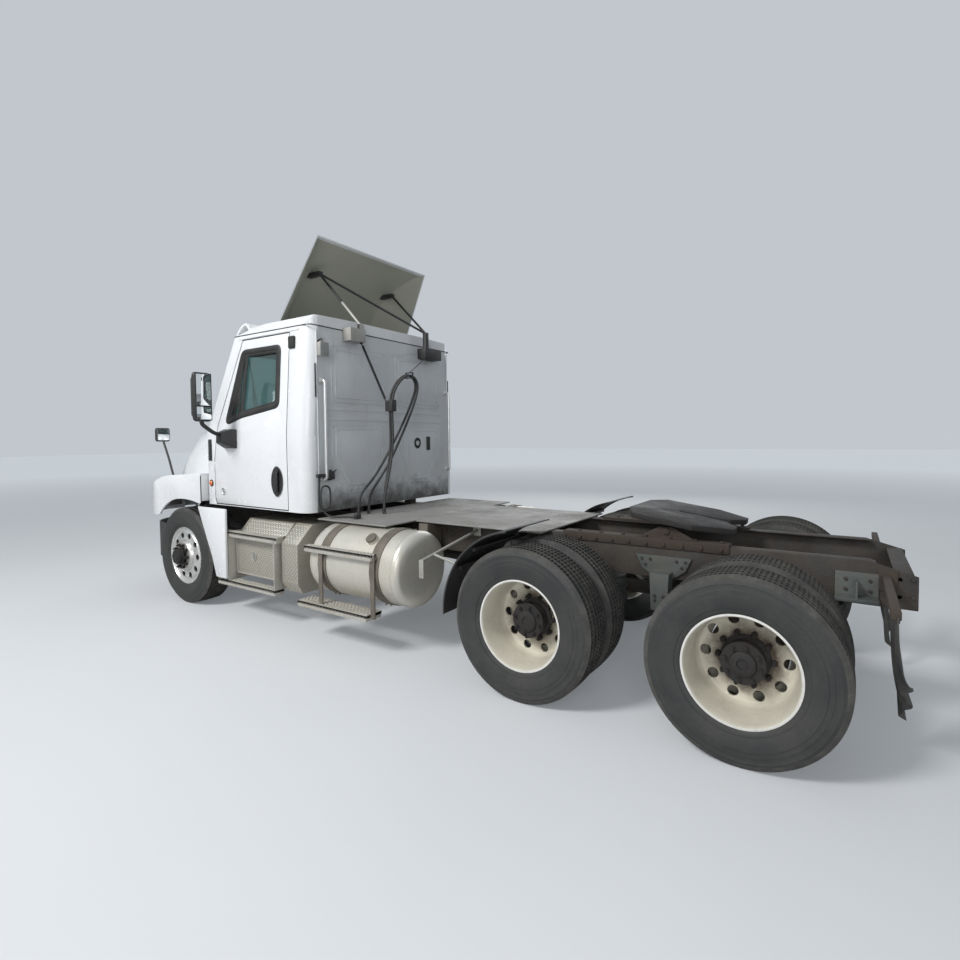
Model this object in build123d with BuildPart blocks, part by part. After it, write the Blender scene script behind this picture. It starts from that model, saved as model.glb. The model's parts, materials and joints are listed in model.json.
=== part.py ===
"""Day-cab tractor unit, 6x4, with a raised roof deflector and a fifth wheel.

Millimetres. +X is forward, +Y is the driver's left, +Z is up. The origin is on the ground,
under the middle of the whole vehicle. Pieces of the left side are mirrored to the right.
"""

import os
from math import cos, pi, radians, sin, sqrt, tan

from build123d import *

os.makedirs("parts", exist_ok=True)

# Overall plan
rear_overhang = 800.0
tandem_spacing = 1320.0
wheelbase = 4775.0
front_overhang = 1235.0
overall_length = rear_overhang + tandem_spacing / 2 + wheelbase + front_overhang
rear_end_x = -overall_length / 2
nose_x = overall_length / 2
rear_axle_x = rear_end_x + rear_overhang
front_drive_x = rear_axle_x + tandem_spacing
front_axle_x = nose_x - front_overhang
seat_gap = 0.3
run_gap = 0.05
turn_gap = 5.0

# Wheels and tyres
tyre_radius = 505.0
tyre_half_width = 143.0
tread_half_width = 116.0
shoulder_radius = 410.0
sidewall_radius = 378.0
bead_radius = 287.0
bead_half = 90.0
wheel_sides = 24
hub_sides = 16
bar_sides = 12
flange_rise = 11.0
flange_width = 14.0
rim_half_width = 119.0
rim_wall = 13.0
disc_thickness = 12.0
hand_hole_count = 10
hand_hole_circle = 213.0
hand_hole_radius = 30.0
front_rim_y = 1043.0
front_disc_bulge = 41.0
front_hub_radius = 82.0
front_hub_length = 73.0
dual_outer_y = 1084.0
dual_spacing = 342.0
dual_disc_y = 973.0
hub_radius = 98.0
hub_length = 225.0
drum_radius = 205.0

# Frame
rail_outer_y = 430.0
rail_depth = 255.0
rail_top_z = 990.0
rail_bottom_z = rail_top_z - rail_depth
rail_flange = 89.0
rail_web = 9.0
rail_front_x = 3450.0
rail_taper_length = 230.0
rail_taper_drop = 65.0
rail_inner_y = rail_outer_y - rail_flange
web_inner_y = rail_outer_y - rail_web
crossmember_depth = 180.0
crossmember_width = 90.0
crossmember_wall = 10.0

# Steering
kingpin_y = 880.0
kingpin_radius = 22.0
kingpin_eye_radius = 48.0
axle_eye_half = 62.0
knuckle_lug = 34.0
lug_gap = 1.0
steering_arm_reach = 200.0
spindle_radius = 44.0
tie_rod_radius = 20.0
tie_ball_radius = 28.0
tie_rod_drop = 46.0

# Cab
cab_setback = 265.0
cab_length = 1580.0
cab_front_x = front_axle_x - cab_setback
cab_back_x = cab_front_x - cab_length
cab_mount_height = 60.0
cab_floor_z = rail_top_z + cab_mount_height
cab_belt_z = cab_floor_z + 700.0
cab_seam_z = cab_floor_z + 1683.0
cab_half_low = 1040.0
cab_half_belt = 1045.0
cab_half_top = 985.0
cab_corner_radius = 120.0
cab_wall = 50.0
cowl_z = cab_floor_z + 800.0
screen_foot_x = cab_front_x - 35.0
screen_head_x = cab_front_x - 445.0
roof_height = 105.0
roof_top_z = cab_seam_z + roof_height
roof_edge = 60.0
roof_wall = 36.0
door_gap = 10.0
door_rear_x = cab_back_x + 280.0
door_front_x = cab_front_x - 123.0
door_bottom_z = cab_floor_z + 18.0
door_top_z = cab_seam_z - 53.0
glass_thickness = 6.0
glass_depth = 22.0

# Hood
hood_gap = 12.0
hood_rear_x = cab_front_x + hood_gap
hood_wall = 20.0
hood_pivot_x = nose_x - 135.0
hood_pivot_z = 830.0
fender_half = 1200.0
fender_corner_radius = 500.0
fender_corner_x = front_axle_x + 467.0
fender_inner = 620.0
fender_floor_z = 905.0
arch_radius = 600.0
grille_x = nose_x - 125.0
grille_half = 430.0
grille_low_z = 880.0
grille_high_z = 1430.0

# Chassis fittings
tank_radius = 305.0
tank_sides = 28
tank_y = 882.0
tank_z = 670.0
tank_length = 1050.0
tank_front_x = cab_back_x - 155.0
tank_rear_x = tank_front_x - tank_length
deck_plate = 12.0
bumper_top_z = 770.0
bumper_bottom_z = 370.0

# Fifth wheel
fifth_x = rear_axle_x + 605.0
fifth_pivot_z = rail_top_z + 68.0
fifth_rest_tilt = 8.0
fifth_plate = 38.0
fifth_lift = 52.0
fifth_half_width = 450.0
fifth_front = 330.0
fifth_rear = 420.0
kingpin_slot_radius = 25.6


def at_y(y):
    """Upright plane along the vehicle, drawn in x and z; a positive extrusion runs to the right (-Y)."""
    return Plane.XZ.offset(-y)


def at_x(x):
    """Upright plane across the vehicle, drawn in y and z; a positive extrusion runs forward."""
    return Plane.YZ.offset(x)


def at_z(z):
    """Level plane, drawn in x and y; a positive extrusion runs up."""
    return Plane.XY.offset(z)


def outline(*points):
    """Closed straight-sided face inside the sketch that is open."""
    Polygon(*points, align=None)


def block(low, high, mode=Mode.ADD):
    """Box between two opposite corners, inside the part that is open."""
    size = [abs(b - a) for a, b in zip(low, high)]
    middle = [(a + b) / 2 for a, b in zip(low, high)]
    with Locations(tuple(middle)):
        Box(size[0], size[1], size[2], mode=mode)


def rod(start, end, radius, sides=bar_sides, mode=Mode.ADD):
    """Bar in flats from one point to another, inside the part that is open.

    A bar's corners lie on the radius. A bore is cut with its flats on it, facing the bar's corners.
    """
    bore = mode == Mode.SUBTRACT
    way = Vector(*end) - Vector(*start)
    with BuildSketch(Plane(origin=start, z_dir=way)) as section:
        RegularPolygon(radius, sides, major_radius=not bore, rotation=180 / sides if bore else 0)
    extrude(section.sketch, amount=way.length, mode=mode)


def flat_face(*corners):
    """Flat face with straight edges through its corners."""
    return Face(Wire.make_polygon(corners))


def wheel_ring(y, radius, sides):
    """Corners of a ring about a wheel's axis at x = 0, with one flat at the bottom."""
    corner = radius / cos(pi / sides)
    turns = [(step + 0.5) * 2 * pi / sides for step in range(sides)]
    return [Vector(corner * sin(turn), y, tyre_radius - corner * cos(turn)) for turn in turns]


def turned(stations, sides=wheel_sides, mode=Mode.ADD):
    """Form about a wheel's axis at x = 0, through (y, radius) stations, in flats with one at the bottom."""
    rings = [wheel_ring(y, radius, sides) for y, radius in stations]
    flats = [flat_face(*rings[0]), flat_face(*rings[-1])]
    for near, far in zip(rings, rings[1:]):
        for k in range(sides):
            flats.append(flat_face(near[k - 1], near[k], far[k], far[k - 1]))
    add(Solid(Shell(flats)), mode=mode)


def axle_bore(start_y, end_y, radius):
    """Bore along a wheel's axis at x = 0, inside the part that is open."""
    rod((0, start_y, tyre_radius), (0, end_y, tyre_radius), radius, mode=Mode.SUBTRACT)


def moved_copy(form, x, y=0.0):
    """Copy of a finished form, moved along and across, inside the part that is open."""
    with Locations((x, y, 0)):
        add(form.part)


def hand_in(piece, name):
    """Name a finished piece and write its file."""
    piece.part.label = name
    export_step(piece.part, f"parts/{name}.step")


def hand_in_pair(piece, name):
    """Write a left-hand piece, and its mirror image as the right-hand one."""
    hand_in(piece, f"{name}_left")
    with BuildPart() as right:
        add(mirror(piece.part, about=Plane.XZ, mode=Mode.PRIVATE))
    hand_in(right, f"{name}_right")


# Frame: two channel rails with tapered rear tips, and the channels between them
with BuildPart() as frame_rails:
    with BuildSketch(at_x(rear_end_x)):
        outline(
            (rail_outer_y, rail_bottom_z),
            (rail_outer_y, rail_top_z),
            (rail_inner_y, rail_top_z),
            (rail_inner_y, rail_top_z - rail_web),
            (web_inner_y, rail_top_z - rail_web),
            (web_inner_y, rail_bottom_z + rail_web),
            (rail_inner_y, rail_bottom_z + rail_web),
            (rail_inner_y, rail_bottom_z),
        )
    extrude(amount=rail_front_x - rear_end_x)
    with BuildSketch(at_y(rail_outer_y + 1)):
        outline(
            (rear_end_x - 1, rail_top_z - rail_taper_drop),
            (rear_end_x + rail_taper_length, rail_top_z + 1),
            (rear_end_x - 1, rail_top_z + 1),
        )
    extrude(amount=rail_flange + 2, mode=Mode.SUBTRACT)
    mirror(about=Plane.XZ)
hand_in(frame_rails, "frame_rails")

crossmember_low_z = rail_bottom_z + rail_web + 12
crossmember_high_z = crossmember_low_z + crossmember_depth
crossmember_xs = (
    rear_end_x + 20,
    rear_axle_x + tandem_spacing / 2 + 60,
    front_drive_x + 465,
    cab_back_x - 805,
    cab_back_x + 195,
    front_axle_x + 700,
)
cab_mount_xs = (cab_back_x + 60, cab_front_x - 140)
cab_mount_length = 90.0
with BuildPart() as crossmembers:
    for x in crossmember_xs:
        with BuildSketch(at_y(web_inner_y)):
            outline(
                (x, crossmember_low_z),
                (x + crossmember_width, crossmember_low_z),
                (x + crossmember_width, crossmember_low_z + crossmember_wall),
                (x + crossmember_wall, crossmember_low_z + crossmember_wall),
                (x + crossmember_wall, crossmember_high_z - crossmember_wall),
                (x + crossmember_width, crossmember_high_z - crossmember_wall),
                (x + crossmember_width, crossmember_high_z),
                (x, crossmember_high_z),
            )
        extrude(amount=2 * web_inner_y)
hand_in(crossmembers, "crossmembers")

with BuildPart() as cab_mounts:
    for x in cab_mount_xs:
        block((x, rail_inner_y, rail_top_z), (x + cab_mount_length, rail_outer_y, cab_floor_z))
    mirror(about=Plane.XZ)
hand_in(cab_mounts, "cab_mounts")

# Engine and gearbox as one plain mass between the rails, with the radiator that shows through the grille
engine_half = rail_inner_y - 12
engine_rear_x = front_axle_x - 210
engine_front_x = engine_rear_x + 810
gearbox_rear_x = engine_rear_x - 790
gearbox_half = 200.0
fan_housing_half = 250.0
fan_housing_low_z = crossmember_high_z + 12
radiator_x = engine_front_x + 230
radiator_depth = 90.0
engine_foot_xs = (engine_rear_x + 140, engine_front_x - 200)
with BuildPart() as engine:
    block((engine_rear_x, -engine_half, 640), (engine_front_x, engine_half, 1450))
    block((gearbox_rear_x, -gearbox_half, 580), (engine_rear_x, gearbox_half, 950))
    block((engine_front_x, -fan_housing_half, fan_housing_low_z), (radiator_x, fan_housing_half, 1250))
    block((radiator_x, -engine_half, 760), (radiator_x + radiator_depth, engine_half, 1350))
    for x in engine_foot_xs:
        block((x, -web_inner_y, 800), (x + 90, web_inner_y, 880))
hand_in(engine, "engine_block")

# Steer axle: a dropped beam with an eye at each end for the kingpin
beam_half_x = 45.0
beam_top_z = 455.0
beam_depth = 100.0
beam_end_z = 555.0
beam_drop_y = 590.0
with BuildPart() as front_axle:
    with BuildSketch(at_x(front_axle_x - beam_half_x)):
        outline(
            (-kingpin_y, beam_end_z),
            (-kingpin_y + 130, beam_end_z),
            (-beam_drop_y, beam_top_z),
            (beam_drop_y, beam_top_z),
            (kingpin_y - 130, beam_end_z),
            (kingpin_y, beam_end_z),
            (kingpin_y, beam_end_z - beam_depth),
            (kingpin_y - 120, beam_end_z - beam_depth),
            (beam_drop_y + 10, beam_top_z - beam_depth),
            (-beam_drop_y - 10, beam_top_z - beam_depth),
            (-kingpin_y + 120, beam_end_z - beam_depth),
            (-kingpin_y, beam_end_z - beam_depth),
        )
    extrude(amount=2 * beam_half_x)
    for side in (1, -1):
        foot = (front_axle_x, side * kingpin_y, tyre_radius - axle_eye_half)
        head = (front_axle_x, side * kingpin_y, tyre_radius + axle_eye_half)
        rod(foot, head, kingpin_eye_radius)
        rod(foot, head, kingpin_radius + run_gap, mode=Mode.SUBTRACT)
hand_in(front_axle, "front_axle")

# Leaf springs of the steer axle, seated on the beam and hung from the rails
spring_y = 470.0
spring_half = 38.0
spring_reach = 560.0
spring_low_z = 540.0
spring_high_z = 590.0
spring_end_z = 640.0
spring_leaf = 22.0
with BuildPart() as front_springs:
    with BuildSketch(at_y(spring_y + spring_half)):
        with BuildLine():
            low_ends = [(front_axle_x + way * spring_reach, spring_end_z) for way in (-1, 1)]
            high_ends = [(front_axle_x + way * spring_reach, spring_end_z + spring_leaf) for way in (-1, 1)]
            ThreePointArc(low_ends[0], (front_axle_x, spring_low_z), low_ends[1])
            Line(low_ends[1], high_ends[1])
            ThreePointArc(high_ends[1], (front_axle_x, spring_high_z), high_ends[0])
            Line(high_ends[0], low_ends[0])
        make_face()
    extrude(amount=2 * spring_half)
    block(
        (front_axle_x - 60, spring_y - spring_half, beam_top_z + seat_gap),
        (front_axle_x + 60, spring_y + spring_half, spring_low_z + 5),
    )
    for end in (-1, 1):
        x = front_axle_x + end * spring_reach
        block((x - 30, spring_y - spring_half, spring_end_z - 10), (x + 30, spring_y + spring_half, 760))
        block((x - 60, rail_outer_y, rail_bottom_z + 5), (x + 60, spring_y + spring_half, 880))
    mirror(about=Plane.XZ)
hand_in(front_springs, "front_springs")

# Steering knuckle: kingpin and lugs, spindle, and an arm straight back
knuckle_top = tyre_radius + axle_eye_half + lug_gap + knuckle_lug
knuckle_low = tyre_radius - axle_eye_half - lug_gap - knuckle_lug
knuckle_web_y = kingpin_y + kingpin_eye_radius + 8
knuckle_plate = 24.0
front_disc_y = front_rim_y + rim_half_width - 8
front_hub_face_y = front_disc_y + front_disc_bulge
arm_x = front_axle_x - steering_arm_reach
with BuildPart() as knuckle:
    rod((front_axle_x, kingpin_y, knuckle_low), (front_axle_x, kingpin_y, knuckle_top), kingpin_radius)
    for low_z in (knuckle_low, knuckle_top - knuckle_lug):
        block(
            (front_axle_x - 42, kingpin_y - 42, low_z),
            (front_axle_x + 42, knuckle_web_y, low_z + knuckle_lug),
        )
    block(
        (front_axle_x - 60, knuckle_web_y, knuckle_low),
        (front_axle_x + 60, knuckle_web_y + knuckle_plate, knuckle_top),
    )
    rod(
        (front_axle_x, knuckle_web_y, tyre_radius),
        (front_axle_x, front_hub_face_y, tyre_radius),
        spindle_radius,
    )
    block(
        (arm_x - 28, kingpin_y - 14, knuckle_low),
        (front_axle_x - 30, kingpin_y + 14, knuckle_low + knuckle_lug),
    )
hand_in_pair(knuckle, "knuckle")

tie_z = knuckle_low - tie_rod_drop
with BuildPart() as tie_rod:
    rod((arm_x, -kingpin_y, tie_z), (arm_x, kingpin_y, tie_z), tie_rod_radius)
    for side in (1, -1):
        ball_y = side * kingpin_y
        rod((arm_x, ball_y, tie_z - 26), (arm_x, ball_y, knuckle_low - seat_gap), tie_ball_radius)
hand_in(tie_rod, "tie_rod")

# One tyre about its middle plane, turned in flats, its beads a hair outside the rim's seat
with BuildPart() as tyre_form:
    turned(
        (
            (-tyre_half_width, shoulder_radius),
            (-tread_half_width, tyre_radius),
            (tread_half_width, tyre_radius),
            (tyre_half_width, shoulder_radius),
        )
    )
    for way in (1, -1):
        turned(
            ((way * bead_half, bead_radius), (way * tyre_half_width, sidewall_radius)),
            mode=Mode.SUBTRACT,
        )
    turned(((-tyre_half_width, bead_radius), (tyre_half_width, bead_radius)), mode=Mode.SUBTRACT)

rim_seat = bead_radius - seat_gap
rim_bore = rim_seat - rim_wall


def rim_barrel(y, outward):
    """One rim without its disc, its lip on the outward side, inside the part that is open."""
    lip = y + outward * rim_half_width
    back = y - outward * rim_half_width
    with BuildPart(mode=Mode.PRIVATE) as body:
        turned(((back, rim_seat), (lip, rim_seat)))
        turned(((lip - outward * flange_width, rim_seat + flange_rise), (lip, rim_seat + flange_rise)))
        turned(((back, rim_bore), (lip, rim_bore)), mode=Mode.SUBTRACT)
    add(body.part)


def rim_disc(y):
    """Disc of a wheel with its hand holes, its outer face at y, inside the part that is open."""
    with BuildPart(mode=Mode.PRIVATE) as body:
        turned(((y - disc_thickness, rim_bore + 1), (y, rim_bore + 1)))
        with BuildSketch(Plane(origin=(0, y, tyre_radius), x_dir=(1, 0, 0), z_dir=(0, 1, 0))):
            with PolarLocations(hand_hole_circle, hand_hole_count):
                RegularPolygon(hand_hole_radius, 6)
        extrude(amount=-disc_thickness, mode=Mode.SUBTRACT)
    add(body.part)


# Left front wheel: rim with its disc, hub and brake drum, bored for the spindle
front_drum_y = knuckle_web_y + knuckle_plate + 30
with BuildPart() as front_rim_form:
    rim_barrel(front_rim_y, 1)
    rim_disc(front_disc_y)
    turned(((front_drum_y, drum_radius), (front_disc_y - 6, drum_radius - 12)), sides=hub_sides)
    turned(
        (
            (front_disc_y - 6, front_hub_radius + 70),
            (front_hub_face_y, front_hub_radius + 62),
            (front_hub_face_y + 1, front_hub_radius),
            (front_hub_face_y + front_hub_length, front_hub_radius - 8),
        ),
        sides=hub_sides,
    )
    axle_bore(front_drum_y - 1, front_hub_face_y + 6, spindle_radius + run_gap)

# Left twin wheels: two rims on one hub with its drum, bored for the axle's spindle
dual_inner_y = dual_outer_y - dual_spacing
drive_drum_y = dual_inner_y + 45
drive_spindle_radius = 50.0
drive_spindle_end_y = dual_disc_y + 25
inner_disc_y = dual_inner_y + rim_half_width - 2
with BuildPart() as twin_rim_form:
    rim_barrel(dual_outer_y, 1)
    rim_barrel(dual_inner_y, -1)
    rim_disc(dual_disc_y)
    turned(((inner_disc_y - disc_thickness, rim_bore + 1), (inner_disc_y, rim_bore + 1)))
    turned(((drive_drum_y, drum_radius), (dual_disc_y, drum_radius - 12)), sides=hub_sides)
    turned(((dual_disc_y - 1, hub_radius), (dual_disc_y + hub_length, hub_radius - 8)), sides=hub_sides)
    axle_bore(drive_drum_y - 1, drive_spindle_end_y + 5, drive_spindle_radius + run_gap)

with BuildPart() as front_tyre:
    moved_copy(tyre_form, front_axle_x, front_rim_y)
hand_in_pair(front_tyre, "front_tyre")
with BuildPart() as front_rim:
    moved_copy(front_rim_form, front_axle_x)
hand_in_pair(front_rim, "front_rim")
for x, row in ((front_drive_x, "front"), (rear_axle_x, "rear")):
    with BuildPart() as twin_tyres:
        moved_copy(tyre_form, x, dual_outer_y)
        moved_copy(tyre_form, x, dual_inner_y)
    hand_in_pair(twin_tyres, f"drive_tyres_{row}")
    with BuildPart() as twin_rims:
        moved_copy(twin_rim_form, x)
    hand_in_pair(twin_rims, f"drive_rims_{row}")

# Drive axles: tube with its bowl and pinion nose, and a spindle at each end for the hub
axle_tube_radius = 68.0
axle_bowl_radius = 205.0
bowl_half = 130.0
pinion_radius = 90.0
pinion_reach = 330.0
pinion_z = tyre_radius + 30
axle_tube_end_y = drive_drum_y - turn_gap
with BuildPart() as drive_axles:
    for x in (front_drive_x, rear_axle_x):
        rod(
            (x, -axle_tube_end_y, tyre_radius),
            (x, axle_tube_end_y, tyre_radius),
            axle_tube_radius,
            hub_sides,
        )
        rod(
            (x, -drive_spindle_end_y, tyre_radius),
            (x, drive_spindle_end_y, tyre_radius),
            drive_spindle_radius,
        )
        rod((x - bowl_half, 0, tyre_radius), (x + bowl_half, 0, tyre_radius), axle_bowl_radius, wheel_sides)
        rod((x + 100, 0, pinion_z), (x + pinion_reach, 0, pinion_z), pinion_radius)
hand_in(drive_axles, "drive_axles")

# Driveshafts: from the gearbox to the front drive axle, and on to the rear one
shaft_radius = 52.0
gearbox_shaft_z = 680.0
shaft_run = gearbox_rear_x - front_drive_x - pinion_reach
shaft_end_room = shaft_radius * (gearbox_shaft_z - pinion_z) / shaft_run + seat_gap
with BuildPart() as driveshafts:
    rod(
        (gearbox_rear_x - shaft_end_room, 0, gearbox_shaft_z),
        (front_drive_x + pinion_reach + shaft_end_room, 0, pinion_z),
        shaft_radius,
    )
    rod(
        (front_drive_x - bowl_half - seat_gap, 0, pinion_z),
        (rear_axle_x + pinion_reach + seat_gap, 0, pinion_z),
        shaft_radius,
    )
hand_in(driveshafts, "driveshafts")

# Air suspension of the drive axles: hangers on the rails, arms over the axles, air springs behind
hanger_lead = 610.0
hanger_top_z = 890.0
hanger_plate = 16.0
arm_y = 505.0
arm_half = 34.0
leg_half = 40.0
air_spring_trail = 340.0
air_spring_radius = 118.0
air_spring_seat_z = 500.0
arm_seat_z = tyre_radius + axle_tube_radius + seat_gap
rear_bracket_x = rear_axle_x - 615
with BuildPart() as rear_suspension:
    for x in (front_drive_x, rear_axle_x):
        hx = x + hanger_lead
        with BuildSketch(at_y(rail_outer_y + hanger_plate)):
            outline(
                (hx - 190, hanger_top_z),
                (hx + 190, hanger_top_z),
                (hx + 150, 800),
                (hx + 65, 740),
                (hx - 65, 740),
                (hx - 150, 800),
            )
        extrude(amount=hanger_plate)
        with BuildSketch(at_y(arm_y + leg_half)):
            outline((hx - 65, 790), (hx + 65, 790), (hx + 55, 540), (hx - 55, 540))
        extrude(amount=arm_y + leg_half - rail_outer_y)
        with BuildSketch(at_y(arm_y + arm_half)):
            outline(
                (hx - 50, 640),
                (hx - 50, 585),
                (x + 90, arm_seat_z),
                (x - 90, arm_seat_z),
                (x - 240, air_spring_seat_z - 40),
                (x - air_spring_trail - 90, air_spring_seat_z - 40),
                (x - air_spring_trail - 90, air_spring_seat_z),
                (x - 215, air_spring_seat_z),
                (x - 90, arm_seat_z + 72),
                (x + 90, arm_seat_z + 72),
            )
        extrude(amount=2 * arm_half)
    block((rear_bracket_x, rail_outer_y, 770), (rear_bracket_x + 213, rail_outer_y + 12, rail_top_z - 70))
    block((rear_bracket_x, rail_outer_y, 770), (rear_bracket_x + 213, rail_outer_y + 120, 790))
    block((rear_bracket_x + 100, rail_outer_y, 770), (rear_bracket_x + 112, rail_outer_y + 100, 880))
    mirror(about=Plane.XZ)
hand_in(rear_suspension, "rear_suspension")

with BuildPart() as air_springs:
    for x in (front_drive_x, rear_axle_x):
        cx = x - air_spring_trail
        cy = arm_y - leg_half
        rod(
            (cx, cy, air_spring_seat_z + seat_gap),
            (cx, cy, rail_bottom_z - seat_gap),
            air_spring_radius,
            hub_sides,
        )
    mirror(about=Plane.XZ)
hand_in(air_springs, "air_springs")

# Pressed panels of the back wall, upper pair and lower shields, and the ridges between them
panel_rise = 6.0
inner_panel_rise = 11.0
panel_margin = 40.0
panel_corner = 70.0
panel_inner_y = 75.0
panel_outer_y = 757.0
upper_panel_z = cab_floor_z + 1010
upper_panel_high_z = cab_floor_z + 1528
shield_inner_y = 100.0
shield_outer_y = 760.0
shield_middle_y = (shield_inner_y + shield_outer_y) / 2
shield_z = cab_floor_z + 185
shield_high_z = cab_floor_z + 790
ridge_inner_y = 60.0
ridge_outer_y = 800.0
ridge_spans = (
    # low and high edge of each ridge
    (cab_floor_z + 840, cab_floor_z + 862),
    (cab_floor_z + 930, cab_floor_z + 952),
)

# Cab: one closed form, from which the shell, the doors and the glass are all cut
screen_rake = (screen_foot_x - screen_head_x) / (cab_seam_z - cowl_z)
cab_lean = (cab_half_belt - cab_half_top) / (cab_seam_z - cab_belt_z)
cab_flare = (cab_half_belt - cab_half_low) / (cab_belt_z - cab_floor_z)


def cab_half_at(z):
    """Half width of the cab's outside at a height."""
    if z < cab_belt_z:
        return cab_half_belt - cab_flare * (cab_belt_z - z)
    return cab_half_belt - cab_lean * (z - cab_belt_z)


def cab_form(inset, floor_z, top_z):
    """Closed form of the cab between two heights, its walls, back and front drawn in by an inset."""
    low_z = floor_z - inset
    high_z = top_z + inset
    head_x = screen_foot_x - screen_rake * (high_z - cowl_z)
    with BuildPart(mode=Mode.PRIVATE) as form:
        with BuildSketch(at_y(cab_half_belt + 10)):
            outline(
                (cab_back_x, low_z),
                (cab_front_x, low_z),
                (cab_front_x, cowl_z - 20),
                (screen_foot_x, cowl_z),
                (head_x, high_z),
                (cab_back_x, high_z),
            )
            if inset:
                offset(amount=-inset, kind=Kind.INTERSECTION, mode=Mode.REPLACE)
        extrude(amount=2 * cab_half_belt + 20)
        with BuildSketch(at_x(cab_back_x - 10)):
            outline(
                (-cab_half_at(low_z), low_z),
                (cab_half_at(low_z), low_z),
                (cab_half_belt, cab_belt_z),
                (cab_half_at(high_z), high_z),
                (-cab_half_at(high_z), high_z),
                (-cab_half_belt, cab_belt_z),
            )
            if inset:
                offset(amount=-inset, kind=Kind.INTERSECTION, mode=Mode.REPLACE)
        extrude(amount=cab_front_x - cab_back_x + 20, mode=Mode.INTERSECT)
        rear = form.faces().sort_by(Axis.X)[0]
        upright = rear.edges().filter_by(lambda e: abs(e.tangent_at(0.5).Z) > 0.9)
        fillet(upright, cab_corner_radius - inset)
    return form.part


def door_outline(grow=0.0):
    """Side view of a door, in the open sketch."""
    outline(
        (door_rear_x - grow, door_bottom_z - grow),
        (door_front_x - 20 + grow, door_bottom_z - grow),
        (door_front_x + grow, door_bottom_z + 60),
        (door_front_x + grow, cab_belt_z - 250),
        (door_front_x - 75 + grow, cowl_z + 10),
        (door_front_x - 75 - screen_rake * (door_top_z - cowl_z) + grow, door_top_z + grow),
        (door_rear_x - grow, door_top_z + grow),
    )


def window_outline(shrink=0.0):
    """Side view of a door's window, in the open sketch."""
    with BuildLine() as edge:
        FilletPolyline(
            (door_rear_x + 145 + shrink, cab_belt_z + 285 + shrink),
            (door_front_x - 472, cab_belt_z + 205 + shrink),
            (door_front_x - 242 - shrink, cab_belt_z + 140 + shrink),
            (door_front_x - 472 - shrink, door_top_z - 120 - shrink),
            (door_rear_x + 145 + shrink, door_top_z - 120 - shrink),
            radius=40,
            close=True,
        )
    make_face(edge.edges())


def screen_outline(shrink=0.0):
    """Windscreen's outline seen from the front, in the open sketch."""
    with BuildLine() as edge:
        FilletPolyline(
            (-900 + shrink, cowl_z + 80 + shrink),
            (900 - shrink, cowl_z + 80 + shrink),
            (860 - shrink, cab_seam_z - 93 - shrink),
            (-860 + shrink, cab_seam_z - 93 - shrink),
            radius=50,
            close=True,
        )
    make_face(edge.edges())


door_reach = 2 * cab_wall + 70
below_floor_z = cab_floor_z - 50
above_seam_z = cab_seam_z + 50
cab_outside = cab_form(0, cab_floor_z, cab_seam_z)
cab_hollow = cab_form(cab_wall, cab_floor_z + cab_wall, above_seam_z)
door_inside = cab_form(cab_wall, below_floor_z, above_seam_z)
door_clear = cab_form(cab_wall + door_gap, below_floor_z, above_seam_z)
glass_outside = cab_form(glass_depth, below_floor_z, above_seam_z)
glass_inside = cab_form(glass_depth + glass_thickness, below_floor_z, above_seam_z)
screen_reach = 700.0
door_plane = at_y(cab_half_belt + 20)

# Hinge pins stand in the gap ahead of each door, on tongues of the cab's door frame
hinge_x = door_front_x + door_gap / 2
hinge_pin_radius = door_gap / 2 - seat_gap
hinge_pin_spans = ((door_bottom_z + 92, door_bottom_z + 172), (cab_belt_z - 340, cab_belt_z - 260))
with BuildPart() as door_openings:
    with BuildSketch(door_plane):
        door_outline(door_gap)
    extrude(amount=2 * cab_half_belt + 40)
    add(door_clear, mode=Mode.SUBTRACT)
with BuildPart() as cab_shell:
    add(cab_outside)
    add(cab_hollow, mode=Mode.SUBTRACT)
    add(door_openings.part, mode=Mode.SUBTRACT)
    with BuildSketch(at_x(cab_front_x + 20)):
        screen_outline()
    extrude(amount=-screen_reach, mode=Mode.SUBTRACT)
    for side in (1, -1):
        for low_z, high_z in hinge_pin_spans:
            y = side * cab_half_belt
            rod((hinge_x, y, low_z), (hinge_x, y, high_z), hinge_pin_radius)
            block((hinge_x, y - side * 30, low_z), (door_front_x + door_gap + 5, y, high_z))
    for side in (1, -1):
        for step, rise in enumerate((panel_rise, inner_panel_rise)):
            shrink = step * panel_margin
            panels = (
                # corners in y and z, each panel drawn in by the margin for its inner level
                (
                    (panel_inner_y + shrink, upper_panel_z + shrink),
                    (panel_outer_y - shrink, upper_panel_z + shrink),
                    (panel_outer_y - shrink, upper_panel_high_z - shrink),
                    (panel_inner_y + shrink, upper_panel_high_z - shrink),
                ),
                (
                    (shield_middle_y - 150 + shrink / 2, shield_z + shrink),
                    (shield_middle_y + 150 - shrink / 2, shield_z + shrink),
                    (shield_outer_y - shrink, shield_z + 330),
                    (shield_outer_y - shrink, shield_high_z - shrink),
                    (shield_inner_y + shrink, shield_high_z - shrink),
                    (shield_inner_y + shrink, shield_z + 330),
                ),
            )
            for corners in panels:
                with BuildSketch(at_x(cab_back_x + 1)) as panel:
                    Polygon(*[(side * y, z) for y, z in corners], align=None)
                    fillet(panel.vertices(), panel_corner - shrink / 2)
                extrude(amount=-1 - rise)
    for low_z, high_z in ridge_spans:
        for side in (1, -1):
            block(
                (cab_back_x - panel_rise, side * ridge_inner_y, low_z),
                (cab_back_x + 1, side * ridge_outer_y, high_z),
            )
hand_in(cab_shell, "cab_shell")

with BuildPart() as windscreen:
    add(glass_outside)
    add(glass_inside, mode=Mode.SUBTRACT)
    with BuildSketch(at_x(cab_front_x + 20)):
        screen_outline(seat_gap)
    extrude(amount=-screen_reach, mode=Mode.INTERSECT)
hand_in(windscreen, "windscreen")

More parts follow.
